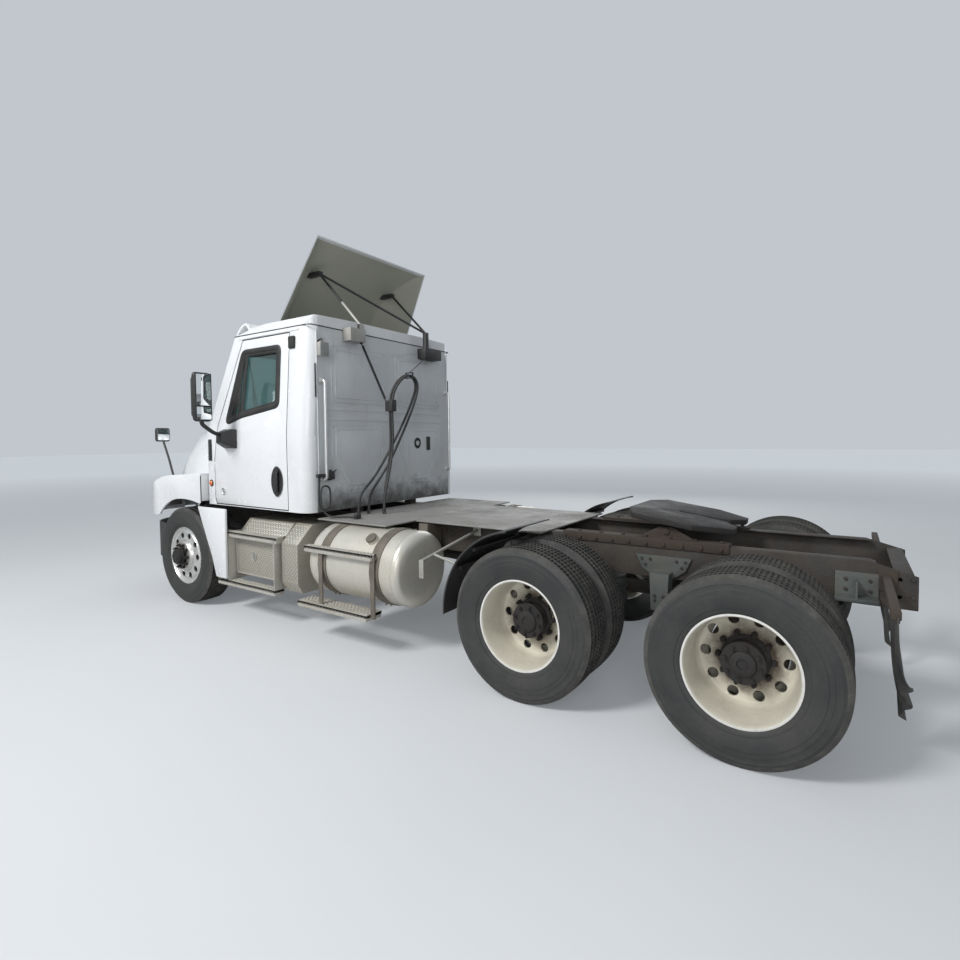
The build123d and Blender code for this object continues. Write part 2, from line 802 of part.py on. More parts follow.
with BuildPart() as door:
    add(cab_outside)
    add(door_inside, mode=Mode.SUBTRACT)
    with BuildSketch(door_plane):
        door_outline()
    extrude(amount=door_reach, mode=Mode.INTERSECT)
    with BuildSketch(door_plane):
        window_outline()
    extrude(amount=door_reach, mode=Mode.SUBTRACT)
hand_in_pair(door, "door")

with BuildPart() as door_glass:
    add(glass_outside)
    add(glass_inside, mode=Mode.SUBTRACT)
    with BuildSketch(door_plane):
        window_outline(seat_gap)
    extrude(amount=door_reach, mode=Mode.INTERSECT)
hand_in_pair(door_glass, "door_glass")

# Door fittings: the mirror on its wedge and arm, and the handle
mirror_x = door_front_x - 422.0
mirror_y = 1350.0
mirror_low_z = cab_belt_z + 150
mirror_high_z = mirror_low_z + 440
handle_y = cab_half_at(cab_belt_z - 340) + seat_gap
with BuildPart() as door_fittings:
    skin_y = cab_half_belt + seat_gap
    block((door_front_x - 262, skin_y, cab_belt_z - 5), (door_front_x - 127, skin_y + 40, cab_belt_z + 85))
    post = (mirror_x + 40, mirror_y - 60)
    rod((door_front_x - 222, skin_y + 30, cab_belt_z + 40), (*post, mirror_low_z), 16)
    rod((*post, mirror_low_z - 10), (*post, mirror_high_z - 10), 16)
    block((mirror_x - 50, mirror_y - 130, mirror_low_z), (mirror_x + 60, mirror_y + 90, mirror_high_z))
    block(
        (door_rear_x + 40, handle_y, cab_belt_z - 515),
        (door_rear_x + 100, handle_y + 30, cab_belt_z - 340),
    )
hand_in_pair(door_fittings, "door_fittings")


# Roof cap, hollow below
def roof_form(inset, low_z):
    """Closed form of the roof cap from low_z up, drawn in by an inset."""
    half = cab_half_top - inset
    with BuildPart(mode=Mode.PRIVATE) as form:
        with BuildSketch(at_x(cab_back_x + inset)):
            outline(
                (-half, low_z),
                (half, low_z),
                (half, cab_seam_z + 20),
                (cab_half_top - roof_edge, roof_top_z - 12 - inset),
                (500, roof_top_z - inset),
                (-500, roof_top_z - inset),
                (-cab_half_top + roof_edge, roof_top_z - 12 - inset),
                (-half, cab_seam_z + 20),
            )
        extrude(amount=screen_head_x + 20 - cab_back_x - 2 * inset)
        rear = form.faces().sort_by(Axis.X)[0]
        upright = rear.edges().filter_by(Axis.Z)
        fillet(upright, cab_corner_radius - inset)
    return form.part


with BuildPart() as cab_roof:
    add(roof_form(0, cab_seam_z))
    add(roof_form(roof_wall, cab_seam_z - 10), mode=Mode.SUBTRACT)
hand_in(cab_roof, "cab_roof")

# Sun visor over the windscreen, a bent strip on the front of the roof cap
visor_half = 930.0
visor_x = screen_head_x + 20 + seat_gap
with BuildPart() as sun_visor:
    with BuildSketch(at_y(visor_half)):
        outline(
            (visor_x, cab_seam_z + 5),
            (visor_x, cab_seam_z + 60),
            (visor_x + 80, cab_seam_z + 37),
            (visor_x + 175, cab_seam_z - 78),
            (visor_x + 185, cab_seam_z - 133),
            (visor_x + 173, cab_seam_z - 135),
            (visor_x + 158, cab_seam_z - 88),
            (visor_x + 70, cab_seam_z + 19),
            (visor_x + 14, cab_seam_z + 35),
            (visor_x + 12, cab_seam_z + 5),
        )
    extrude(amount=2 * visor_half)
hand_in(sun_visor, "sun_visor")

# Interior that shows through the glass: dashboard with seat bases, seats, and the steering wheel
cabin_floor_z = cab_floor_z + cab_wall
cabin_front_x = cab_front_x - cab_wall - seat_gap
cabin_half = cab_half_at(cabin_floor_z) - cab_wall
seat_y = 480.0
seat_x = cab_back_x + 405
seat_base_z = cabin_floor_z + 350
with BuildPart() as cab_interior:
    with BuildSketch(at_y(cabin_half - 30)):
        outline(
            (cabin_front_x - 284, cowl_z - 350),
            (cabin_front_x, cowl_z - 450),
            (cabin_front_x, cowl_z - 70),
            (cabin_front_x - 94, cowl_z - 60),
            (cabin_front_x - 234, cowl_z - 90),
            (cabin_front_x - 294, cowl_z - 210),
        )
    extrude(amount=2 * cabin_half - 60)
    for side in (1, -1):
        y = side * seat_y
        block((seat_x + 40, y - 190, cabin_floor_z), (seat_x + 440, y + 190, seat_base_z))
hand_in(cab_interior, "cab_interior")

with BuildPart() as seats:
    with BuildSketch(at_y(seat_y + 250)):
        outline(
            (seat_x - 130, seat_base_z + seat_gap),
            (seat_x + 500, seat_base_z + seat_gap),
            (seat_x + 515, seat_base_z + 120),
            (seat_x + 480, seat_base_z + 150),
            (seat_x, seat_base_z + 110),
            (seat_x - 60, seat_base_z + 880),
            (seat_x - 170, seat_base_z + 880),
            (seat_x - 145, seat_base_z + 50),
        )
    extrude(amount=500)
    mirror(about=Plane.XZ)
hand_in(seats, "seats")

wheel_tilt = 50.0
with BuildPart() as steering_wheel:
    column = Vector(-sin(radians(wheel_tilt)), 0, cos(radians(wheel_tilt)))
    hub_point = Vector(cabin_front_x - 395, seat_y, cowl_z - 20)
    with BuildSketch(Plane(origin=hub_point, x_dir=(0, 1, 0), z_dir=column)):
        RegularPolygon(228, 20)
        RegularPolygon(196, 20, mode=Mode.SUBTRACT)
        Rectangle(400, 40)
        RegularPolygon(60, 12)
    extrude(amount=26)
    rod(hub_point, hub_point - column * 230, 30)
    add(cab_interior.part, mode=Mode.SUBTRACT)
hand_in(steering_wheel, "steering_wheel")

# Roof deflector, a scoop open behind and below, raised on bolted struts
deflector_top_z = roof_top_z + 774
deflector_top_x = cab_back_x + 160
deflector_top_half = 745.0
deflector_low_half = 865.0
deflector_low_z = roof_top_z + seat_gap
deflector_wall = 12.0
deflector_low_x = cab_back_x + 615
deflector_front_x = cab_back_x + 985
deflector_brow_x = deflector_front_x - 350
deflector_brow_z = deflector_low_z + 522
deflector_lip = 70.0


def scoop_form(inset):
    """Closed form of the deflector, shifted back and drawn in by an inset for its hollow."""
    top_z = deflector_top_z - inset
    low_z = deflector_low_z - inset
    with BuildPart(mode=Mode.PRIVATE) as form:
        with BuildSketch(at_y(deflector_low_half + 10)):
            with BuildLine():
                foot = (deflector_front_x - inset, low_z)
                brow = (deflector_brow_x - inset, deflector_brow_z - inset)
                lip = (deflector_top_x + deflector_lip - inset, top_z)
                tip = (deflector_top_x - inset, top_z)
                Polyline(tip, (deflector_low_x - inset, low_z), foot)
                ThreePointArc(foot, brow, lip)
                Line(lip, tip)
            make_face()
        extrude(amount=2 * deflector_low_half + 20)
        with BuildSketch(at_x(deflector_top_x - 60)):
            outline(
                (-deflector_low_half + inset, deflector_low_z - 20),
                (deflector_low_half - inset, deflector_low_z - 20),
                (deflector_top_half - inset, deflector_top_z + 10),
                (-deflector_top_half + inset, deflector_top_z + 10),
            )
        extrude(amount=1000, mode=Mode.INTERSECT)
    return form.part


deflector_hollow = scoop_form(deflector_wall)
with BuildPart() as roof_deflector:
    add(scoop_form(0))
    add(deflector_hollow, mode=Mode.SUBTRACT)
hand_in(roof_deflector, "roof_deflector")

# Struts from brackets on the back wall to brackets on the deflector's inside
strut_radius = 12.0
strut_foot_x = cab_back_x - 95
strut_head_x = cab_back_x + 455
strut_head_z = deflector_top_z - 247
strut_half = 500.0
left_foot_z = roof_top_z - 48
right_foot_z = roof_top_z + 25
strut_table = (
    # foot y, foot z, head y
    (480, left_foot_z, strut_half),
    (-450, right_foot_z, strut_half),
    (-450, right_foot_z, -strut_half),
)
with BuildPart() as strut_brackets:
    for side in (1, -1):
        y = side * strut_half
        block(
            (strut_head_x - 20, y - 25, strut_head_z - 20),
            (strut_head_x + 200, y + 25, strut_head_z + 20),
        )
    add(deflector_hollow, mode=Mode.INTERSECT)
with BuildPart() as deflector_struts:
    add(strut_brackets.part)
    for foot_y, foot_z, head_y in strut_table:
        rod((strut_foot_x, foot_y, foot_z), (strut_head_x, head_y, strut_head_z), strut_radius)
    block((strut_foot_x - 20, 440, cab_seam_z - 100), (cab_back_x - seat_gap, 620, cab_seam_z + 20))
    block((strut_foot_x - 20, 455, cab_seam_z), (strut_foot_x + 20, 505, left_foot_z + 10))
    block((strut_foot_x - 20, -690, cab_seam_z - 140), (cab_back_x - seat_gap, -420, cab_seam_z - 30))
    block((strut_foot_x - 20, -475, cab_seam_z - 60), (strut_foot_x + 20, -425, right_foot_z + 10))
hand_in(deflector_struts, "deflector_struts")

# Fittings on the back wall: a grab handle at each rear corner and the work lamp
handle_low_z = cab_floor_z + 300
handle_high_z = cab_floor_z + 1190
handle_side_y = 880.0
handle_stand = 60.0
handle_radius = 15.0
lamp_z = cab_seam_z - 229
slot_vent_y = shield_middle_y + 130
ring_vent_y = shield_middle_y - 45
back_vent_z = shield_high_z - 175
vent_seat_x = cab_back_x - inner_panel_rise - seat_gap
side_vent_rear_x = cab_front_x - 80
marker_x = cab_front_x - 55
marker_z = cab_floor_z + 220
with BuildPart() as cab_fittings:
    for side in (1, -1):
        y = side * handle_side_y
        grip = cab_back_x - handle_stand
        for z in (handle_low_z, handle_high_z):
            rod((cab_back_x - seat_gap, y, z), (grip - handle_radius, y, z), handle_radius)
        rod((grip, y, handle_low_z - 10), (grip, y, handle_high_z + 10), handle_radius)
    block((cab_back_x - 70, 880, lamp_z + 30), (cab_back_x - seat_gap, 910, lamp_z + 60))
    block((cab_back_x - 115, 865, lamp_z - 60), (cab_back_x - 55, 965, lamp_z + 70))
    rod(
        (vent_seat_x, -ring_vent_y, back_vent_z),
        (vent_seat_x - 14, -ring_vent_y, back_vent_z),
        46,
        hub_sides,
    )
    block(
        (vent_seat_x - 10, -slot_vent_y - 14, back_vent_z - 70),
        (vent_seat_x, -slot_vent_y + 14, back_vent_z + 60),
    )
    for side in (1, -1):
        vent_skin_y = side * (cab_half_at(cab_belt_z - 30) + seat_gap)
        block(
            (side_vent_rear_x, vent_skin_y, cab_belt_z - 250),
            (side_vent_rear_x + 60, vent_skin_y + side * 10, cab_belt_z - 30),
        )
        marker_skin_y = side * (cab_half_at(marker_z + 28) + seat_gap)
        rod(
            (marker_x, marker_skin_y, marker_z),
            (marker_x, marker_skin_y + side * 22, marker_z),
            28,
            hub_sides,
        )
hand_in(cab_fittings, "cab_fittings")


# Hood: one form for the outside and the same form drawn in for the hollow
def fender_form(inset, drop, back):
    """Closed form of the left front fender, drawn past its tip and cut to its rounded plan."""
    half = fender_half - inset
    tip_x = fender_corner_x + fender_corner_radius - inset
    floor_z = fender_floor_z - drop
    tail_x = hood_rear_x - back
    past_x = tip_x + 30
    with BuildPart(mode=Mode.PRIVATE) as form:
        with BuildSketch(at_y(half)) as side_view:
            with BuildLine() as edge:
                Polyline((past_x, floor_z + 5), (past_x, floor_z), (front_axle_x + 480, floor_z))
                Polyline(
                    (front_axle_x + 480, floor_z),
                    (tail_x, fender_floor_z + 160 - drop),
                    (tail_x, 1370 - inset),
                )
                Line((tail_x, 1370 - inset), (front_axle_x + 200, 1345 - inset))
                ThreePointArc(
                    (front_axle_x + 200, 1345 - inset),
                    (fender_corner_x + 163 - inset / 2, 1222 - inset / 2),
                    (past_x, floor_z + 5),
                )
            make_face(edge.edges())
        extrude(side_view.sketch, amount=half - fender_inner)
        with BuildSketch(at_z(floor_z - 10)) as plan:
            with BuildLine() as edge:
                Polyline(
                    (tip_x, fender_half - fender_corner_radius),
                    (tip_x, 0),
                    (tail_x - 10, 0),
                    (tail_x - 10, 1120 - inset),
                    (front_axle_x + 20, half),
                    (fender_corner_x, half),
                )
                RadiusArc(
                    (fender_corner_x, half),
                    (tip_x, fender_half - fender_corner_radius),
                    fender_corner_radius - inset,
                )
            make_face(edge.edges())
        extrude(plan.sketch, amount=1000, mode=Mode.INTERSECT)
    return form.part


hood_sections = (
    # distance ahead of the hood's rear edge, half width low, at the shoulder and on top, height
    # low, shoulder, top
    (0.0, 985, 905, 800, 1300, 1700, 1850),
    (803.0, 860, 770, 660, 1240, 1600, 1765),
    (1303.0, 665, 590, 500, 1190, 1440, 1530),
    (grille_x - hood_rear_x, 610, 540, 450, 1180, 1400, 1470),
)


shoulder_flats = 5


def hood_form(inset):
    """Closed form of the hood between the fenders, drawn in by an inset and then open below and behind."""
    drop = 200.0 if inset else 0.0
    back = 100.0 if inset else 0.0
    rings = []
    for ahead, low, mid, high, z_low, z_mid, z_high in hood_sections:
        x = hood_rear_x + ahead
        if ahead == 0:
            x = x - back
        if ahead == grille_x - hood_rear_x:
            x = x - inset
        shoulder = ThreePointArc(
            (low - inset, z_low),
            (mid - inset, z_mid - inset / 2),
            (high - inset, z_high - inset),
        )
        left = [(low - inset, fender_floor_z - drop)]
        for k in range(shoulder_flats + 1):
            point = shoulder @ (k / shoulder_flats)
            left.append((point.X, point.Y))
        rings.append([Vector(x, y, z) for y, z in left] + [Vector(x, -y, z) for y, z in reversed(left)])
    flats = [flat_face(*rings[0]), flat_face(*rings[-1])]
    for near, far in zip(rings, rings[1:]):
        for k in range(len(near)):
            a, b, c, d = near[k - 1], near[k], far[k], far[k - 1]
            if a.Y + b.Y < 0:
                a, b, c, d = b, a, d, c
            flats.append(flat_face(a, b, c))
            flats.append(flat_face(a, c, d))
    return Solid(Shell(flats))


fender_outside = fender_form(0, 0, 0)
fender_hollow = fender_form(hood_wall, 200, 100)
hood_outside = hood_form(0)
hood_hollow = hood_form(hood_wall)
lamp_low_z = 945.0
lamp_high_z = 1095.0
lamp_inner_y = 760.0
lamp_outer_y = 980.0
lamp_glass = 30.0
with BuildPart() as headlamps:
    block((fender_corner_x, lamp_inner_y, lamp_low_z), (nose_x, lamp_outer_y, lamp_high_z))
    add(fender_form(3, 50, 50), mode=Mode.INTERSECT)
    add(fender_form(3 + lamp_glass, 200, 100), mode=Mode.SUBTRACT)
    mirror(about=Plane.XZ)
hand_in(headlamps, "headlamps")

# Hinge of the hood: lugs with pins on the bumper's brackets, and eyed arms on the hood
hood_arm_y = 455.0
hood_arm_width = 20.0
hood_pin_radius = 12.0
hood_eye_radius = 26.0
hood_lug_y = grille_half + 6
hood_lug_width = 10.0
with BuildPart() as hood:
    add(hood_outside)
    add(fender_outside)
    add(mirror(fender_outside, about=Plane.XZ, mode=Mode.PRIVATE))
    add(hood_hollow, mode=Mode.SUBTRACT)
    add(fender_hollow, mode=Mode.SUBTRACT)
    add(mirror(fender_hollow, about=Plane.XZ, mode=Mode.PRIVATE), mode=Mode.SUBTRACT)
    with BuildSketch(at_y(fender_half + 10)):
        with Locations((front_axle_x, tyre_radius)):
            Circle(arch_radius)
    extrude(amount=2 * fender_half + 20, mode=Mode.SUBTRACT)
    block(
        (grille_x - 60, -grille_half, grille_low_z),
        (grille_x + 20, grille_half, grille_high_z),
        mode=Mode.SUBTRACT,
    )
    for side in (1, -1):
        block(
            (fender_corner_x, side * (lamp_inner_y - seat_gap), lamp_low_z - seat_gap),
            (nose_x, side * (lamp_outer_y + seat_gap), lamp_high_z + seat_gap),
            mode=Mode.SUBTRACT,
        )
        near_y = side * hood_arm_y
        far_y = side * (hood_arm_y + hood_arm_width)
        block((grille_x - 30, near_y, hood_pivot_z), (grille_x - 2, far_y, fender_floor_z + 60))
        rod((hood_pivot_x, near_y, hood_pivot_z), (hood_pivot_x, far_y, hood_pivot_z), hood_eye_radius)
        pin_bore = hood_pin_radius + run_gap
        rod(
            (hood_pivot_x, near_y, hood_pivot_z),
            (hood_pivot_x, far_y, hood_pivot_z),
            pin_bore,
            mode=Mode.SUBTRACT,
        )
hand_in(hood, "hood")

grille_border = 40.0
bar_pitch = 55.0
bar_slot = 35.0
with BuildPart() as grille:
    block(
        (grille_x - hood_wall, -grille_half + seat_gap, grille_low_z + seat_gap),
        (grille_x + 10, grille_half - seat_gap, grille_high_z - seat_gap),
    )
    bar_rows = int((grille_high_z - grille_low_z - 60) // bar_pitch)
    for row in range(bar_rows):
        z = grille_low_z + grille_border + row * bar_pitch
        block(
            (grille_x - hood_wall - 1, -grille_half + grille_border, z),
            (grille_x + 11, grille_half - grille_border, z + bar_slot),
            mode=Mode.SUBTRACT,
        )
hand_in(grille, "grille")

# Mirrors on the fenders, each on a slanting arm
arm_foot_x = front_axle_x + 680
arm_foot_y = 900.0
arm_head_x = arm_foot_x + 260
with BuildPart() as hood_mirror_left:
    rod((arm_foot_x, arm_foot_y, 1150), (arm_head_x, arm_foot_y, 1720), 10)
    block((arm_foot_x - 40, arm_foot_y - 25, 1150), (arm_foot_x + 40, arm_foot_y + 25, 1240))
    block((arm_head_x, arm_foot_y - 80, 1700), (arm_head_x + 60, arm_foot_y + 80, 1860))
    add(fender_outside, mode=Mode.SUBTRACT)
    add(hood_outside, mode=Mode.SUBTRACT)
    add(fender_hollow, mode=Mode.SUBTRACT)
with BuildPart() as hood_mirrors:
    add(hood_mirror_left.part)
    mirror(about=Plane.XZ)
hand_in(hood_mirrors, "hood_mirrors")

# Front bumper, a shell that wraps back at its ends, on brackets from the rail tips
bumper_corner = 450.0
bumper_wall = 12.0
bumper_half = 997.0
bumper_end_x = front_axle_x + 600


def bumper_form(inset):
    """Closed form of the bumper, drawn in by an inset and then open above and below."""
    front = nose_x - inset
    half = bumper_half - inset
    turn = bumper_corner - inset
    with BuildPart(mode=Mode.PRIVATE) as form:
        with BuildSketch(at_z(bumper_bottom_z - inset)):
            with BuildLine():
                Line((front, -half + turn), (front, half - turn))
                RadiusArc((front, half - turn), (front - turn, half), -turn)
                Polyline(
                    (front - turn, half),
                    (bumper_end_x - inset, half + 60),
                    (bumper_end_x - inset, -half - 60),
                    (front - turn, -half),
                )
                RadiusArc((front - turn, -half), (front, -half + turn), -turn)
            make_face()
        extrude(amount=bumper_top_z - bumper_bottom_z + 2 * inset)
    return form.part


bumper_outside = bumper_form(0)
bumper_hollow = bumper_form(bumper_wall)
with BuildPart() as front_bumper:
    add(bumper_outside)
    add(bumper_hollow, mode=Mode.SUBTRACT)
    for side in (1, -1):
        lug_low = side * hood_lug_y
        lug_high = side * (hood_lug_y + hood_lug_width)
        block(
            (rail_front_x + seat_gap, side * rail_inner_y, rail_bottom_z),
            (nose_x - bumper_wall, lug_high, bumper_top_z - 5),
        )
        block((hood_pivot_x - 35, lug_low, rail_bottom_z), (hood_pivot_x + 35, lug_high, hood_pivot_z + 25))
        pin_end = (hood_pivot_x, side * (hood_arm_y + hood_arm_width + 5), hood_pivot_z)
        rod((hood_pivot_x, lug_low, hood_pivot_z), pin_end, hood_pin_radius)
hand_in(front_bumper, "front_bumper")

# Boxes beside the frame under the doors: the battery box, and a cover ahead of the tank
box_rear_x = cab_back_x + 345
box_front_x = box_rear_x + 710
box_outer_y = 1080.0
cover_rear_x = cab_back_x + 65
cover_front_x = box_rear_x - 50
box_hang_y = rail_outer_y + seat_gap
with BuildPart() as side_boxes:
    with BuildSketch(at_x(box_rear_x)):
        outline((box_hang_y, 400), (box_outer_y, 400), (box_outer_y, 760), (930, 930), (box_hang_y, 930))
    extrude(amount=box_front_x - box_rear_x)
    with BuildSketch(at_x(cover_rear_x)):
        outline((box_hang_y, 330), (1060, 330), (1110, 420), (1110, 780), (950, 940), (box_hang_y, 940))
    extrude(amount=cover_front_x - cover_rear_x)
    mirror(about=Plane.XZ)
hand_in(side_boxes, "side_boxes")

# White skirts behind the front wheels, on blocks at the steps' brackets
box_step_y = 1160.0
skirt_y = box_step_y + 15
skirt_wall = 25.0
skirt_rear_x = box_front_x - 20
with BuildPart() as wheel_skirts:
    with BuildSketch(at_y(skirt_y + skirt_wall)):
        outline(
            (skirt_rear_x, 1045),
            (box_front_x + 460, 1045),
            (box_front_x + 220, 560),
            (box_front_x + 150, 370),
            (skirt_rear_x, 370),
        )
    extrude(amount=skirt_wall)
    block((box_front_x + seat_gap, box_step_y + seat_gap, 600), (box_front_x + 15, skirt_y + 1, 760))
    mirror(about=Plane.XZ)
hand_in(wheel_skirts, "wheel_skirts")

# Fuel tanks, their straps and brackets, and the steps hung on tanks and boxes
tank_roll = 18.0
filler_angle = 50.0
filler_x = tank_rear_x + 360
with BuildPart() as fuel_tanks:
    rod((tank_rear_x, tank_y, tank_z), (tank_front_x, tank_y, tank_z), tank_radius, tank_sides)
    chamfer(fuel_tanks.faces().filter_by(Axis.X).edges(), length=tank_roll)
    neck = [
        (filler_x, tank_y + r * cos(radians(filler_angle)), tank_z + r * sin(radians(filler_angle)))
        for r in (tank_radius - 15, tank_radius + 40)
    ]
    rod(neck[0], neck[1], 45)
    mirror(about=Plane.XZ)
hand_in(fuel_tanks, "fuel_tanks")

strap_xs = (tank_rear_x + 197, tank_front_x - 250)
strap_wall = 6.0
strap_width = 95.0
strap_outer_radius = tank_radius + seat_gap + strap_wall
with BuildPart() as tank_straps:
    for x in strap_xs:
        with BuildSketch(at_x(x)):
            with Locations((tank_y, tank_z)):
                RegularPolygon(strap_outer_radius, tank_sides)
            outline((box_hang_y, 740), (box_hang_y, 980), (610, 980), (620, 800), (600, 520), (560, 500))
            with Locations((tank_y, tank_z)):
                RegularPolygon(tank_radius + seat_gap, tank_sides, mode=Mode.SUBTRACT)
        extrude(amount=strap_width)
    mirror(about=Plane.XZ)
hand_in(tank_straps, "tank_straps")

tread = 25.0
tank_step_y = 1225.0
tank_step_inner_y = tank_y + strap_outer_radius + seat_gap
with BuildPart() as side_steps:
    upper_inner_y = tank_y + sqrt(strap_outer_radius**2 - (825 - tread - tank_z) ** 2) + 3
    block((tank_rear_x + 235, upper_inner_y, 825 - tread), (tank_front_x - 25, tank_step_y, 825))
    block((tank_rear_x + 293, tank_y + 180, 345 - tread), (tank_front_x + 75, tank_step_y, 345))
    for x in strap_xs:
        block((x + 25, tank_step_inner_y, 345 - tread), (x + 70, tank_step_inner_y + 12, 825))
    for low_x, high_x in (
        (box_rear_x - 15, box_rear_x - seat_gap),
        (box_front_x + seat_gap, box_front_x + 15),
    ):
        with BuildSketch(at_x(low_x)):
            outline(
                (700, 345),
                (box_step_y, 345),
                (box_step_y, 825),
                (960, 825),
                (box_outer_y - 60, 700),
                (box_outer_y - 60, 600),
            )
        extrude(amount=high_x - low_x)
    block((box_rear_x - 50, box_outer_y + 5, 825 - tread), (box_front_x + 80, box_step_y, 825))
    block((box_rear_x - 15, box_outer_y - 20, 345 - tread), (box_front_x + 190, box_step_y, 345))
    mirror(about=Plane.XZ)
hand_in(side_steps, "side_steps")

# Deck plates behind the cab, on the rails
deck_low_z = rail_top_z + seat_gap
deck_front_x = cab_back_x - 15
deck_split_x = deck_front_x - 840
deck_rear_x = deck_split_x - 1250
deck_front_half = 950.0
deck_rear_half = 600.0
with BuildPart() as deck_plates:
    block(
        (deck_split_x, -deck_front_half, deck_low_z),
        (deck_front_x, deck_front_half, deck_low_z + deck_plate),
    )
    block(
        (deck_rear_x, -deck_rear_half, deck_low_z),
        (deck_split_x - 10, deck_rear_half, deck_low_z + deck_plate),
    )
hand_in(deck_plates, "deck_plates")

# Hoses behind the cab: two hang from lines off the struts' brackets, one is looped at the left corner
hose_radius = 12.0
corner_hose_radius = 8.0
hose_sides = 8
deck_top_z = deck_low_z + deck_plate
hose_foot_z = deck_top_z + 40
loop_bracket_z = handle_low_z + 20
loop_bracket_y = handle_side_y + handle_radius + 4
front_hose_x = cab_back_x - 305
rear_hose_x = front_hose_x - 32
corner_x = cab_back_x - 55
front_foot = (front_hose_x, 420)
front_far_foot = (cab_back_x - 185, 625)
rear_foot = (rear_hose_x, 450)
rear_far_foot = (cab_back_x - 190, 505)
corner_end = (cab_back_x - 340, 800, deck_top_z + corner_hose_radius + 5)
hose_table = (
    # node, radius, route from its first fitting to its last
    (
        "air_hose_front",
        hose_radius,
        (
            (*front_foot, hose_foot_z),
            (*front_foot, 1150),
            (front_hose_x + 1, 388, 1300),
            (front_hose_x + 2, 346, 1470),
            (front_hose_x - 2, 319, 1680),
            (front_hose_x, 322, 1900),
            (front_hose_x - 3, 330, 2060),
            (front_hose_x - 12, 302, 2185),
            (front_hose_x - 34, 238, 2283),
            (front_hose_x - 62, 172, 2334),
            (front_hose_x - 78, 106, 2330),
            (front_hose_x - 84, 56, 2280),
            (front_hose_x - 82, 46, 2205),
            (front_hose_x - 66, 84, 2085),
            (front_hose_x - 26, 140, 1915),
            (front_hose_x + 26, 222, 1720),
            (front_hose_x + 76, 320, 1520),
            (front_hose_x + 106, 450, 1330),
            (cab_back_x - 187, 588, 1215),
            (*front_far_foot, 1120),
            (*front_far_foot, hose_foot_z),
        ),
    ),
    (
        "air_hose_rear",
        hose_radius,
        (
            (*rear_foot, hose_foot_z),
            (*rear_foot, 1140),
            (rear_hose_x + 1, 406, 1290),
            (rear_hose_x + 2, 352, 1470),
            (rear_hose_x - 2, 321, 1680),
            (rear_hose_x, 324, 1900),
            (rear_hose_x - 3, 331, 2060),
            (rear_hose_x - 12, 305, 2178),
            (rear_hose_x - 34, 244, 2276),
            (rear_hose_x - 62, 180, 2328),
            (rear_hose_x - 78, 112, 2326),
            (rear_hose_x - 84, 62, 2276),
            (rear_hose_x - 82, 50, 2200),
            (rear_hose_x - 68, 80, 2080),
            (rear_hose_x - 30, 130, 1910),
            (rear_hose_x + 18, 205, 1710),
            (rear_hose_x + 68, 290, 1500),
            (rear_hose_x + 118, 385, 1330),
            (cab_back_x - 194, 466, 1215),
            (*rear_far_foot, 1115),
            (*rear_far_foot, hose_foot_z),
        ),
    ),
    (
        "corner_hose",
        corner_hose_radius,
        (
            (corner_x, 960, loop_bracket_z - seat_gap),
            (corner_x, 960, 1288),
            (corner_x - 2, 967, 1200),
            (corner_x - 4, 964, 1115),
            (corner_x - 6, 932, 1078),
            (corner_x - 8, 884, 1077),
            (corner_x - 10, 851, 1112),
            (corner_x - 12, 847, 1185),
            (corner_x - 15, 852, 1258),
            (corner_x - 19, 884, 1293),
            (corner_x - 23, 931, 1295),
            (corner_x - 27, 965, 1262),
            (corner_x - 31, 971, 1190),
            (corner_x - 36, 964, 1112),
            (corner_x - 46, 945, 1060),
            (corner_x - 74, 922, corner_end[2] + 13),
            (corner_x - 120, 893, corner_end[2] + 1),
            (corner_x - 170, 847, corner_end[2] + 2),
            (corner_x - 220, corner_end[1], corner_end[2]),
            corner_end,
        ),
    ),
)


def arc_radii(route):
    """Radius of the arc at each corner of a route, as large as the two runs beside it allow."""
    radii = []
    for before, corner, after in zip(route, route[1:], route[2:]):
        run_in = Vector(*corner) - Vector(*before)
        run_out = Vector(*after) - Vector(*corner)
        half_turn = radians(run_in.get_angle(run_out)) / 2
        radii.append(0.45 * min(run_in.length, run_out.length) / tan(half_turn))
    return radii


for name, radius, route in hose_table:
    radii = arc_radii(route)
    with BuildPart() as hose:
        with BuildLine() as hose_line:
            FilletPolyline(*route, radius=radii)
        with BuildSketch(Plane(origin=hose_line.line @ 0, z_dir=hose_line.line % 0)) as section:
            RegularPolygon(radius, hose_sides)
        sweep()
    hand_in(hose, name)
    length = hose_line.wire().length
    share = hose.part.volume / (section.sketch.area * length)
    print(name, "length", round(length), "volume over section times length", round(share, 4))
    print(name, "radii over diameter", [round(r / (2 * radius), 1) for r in radii])

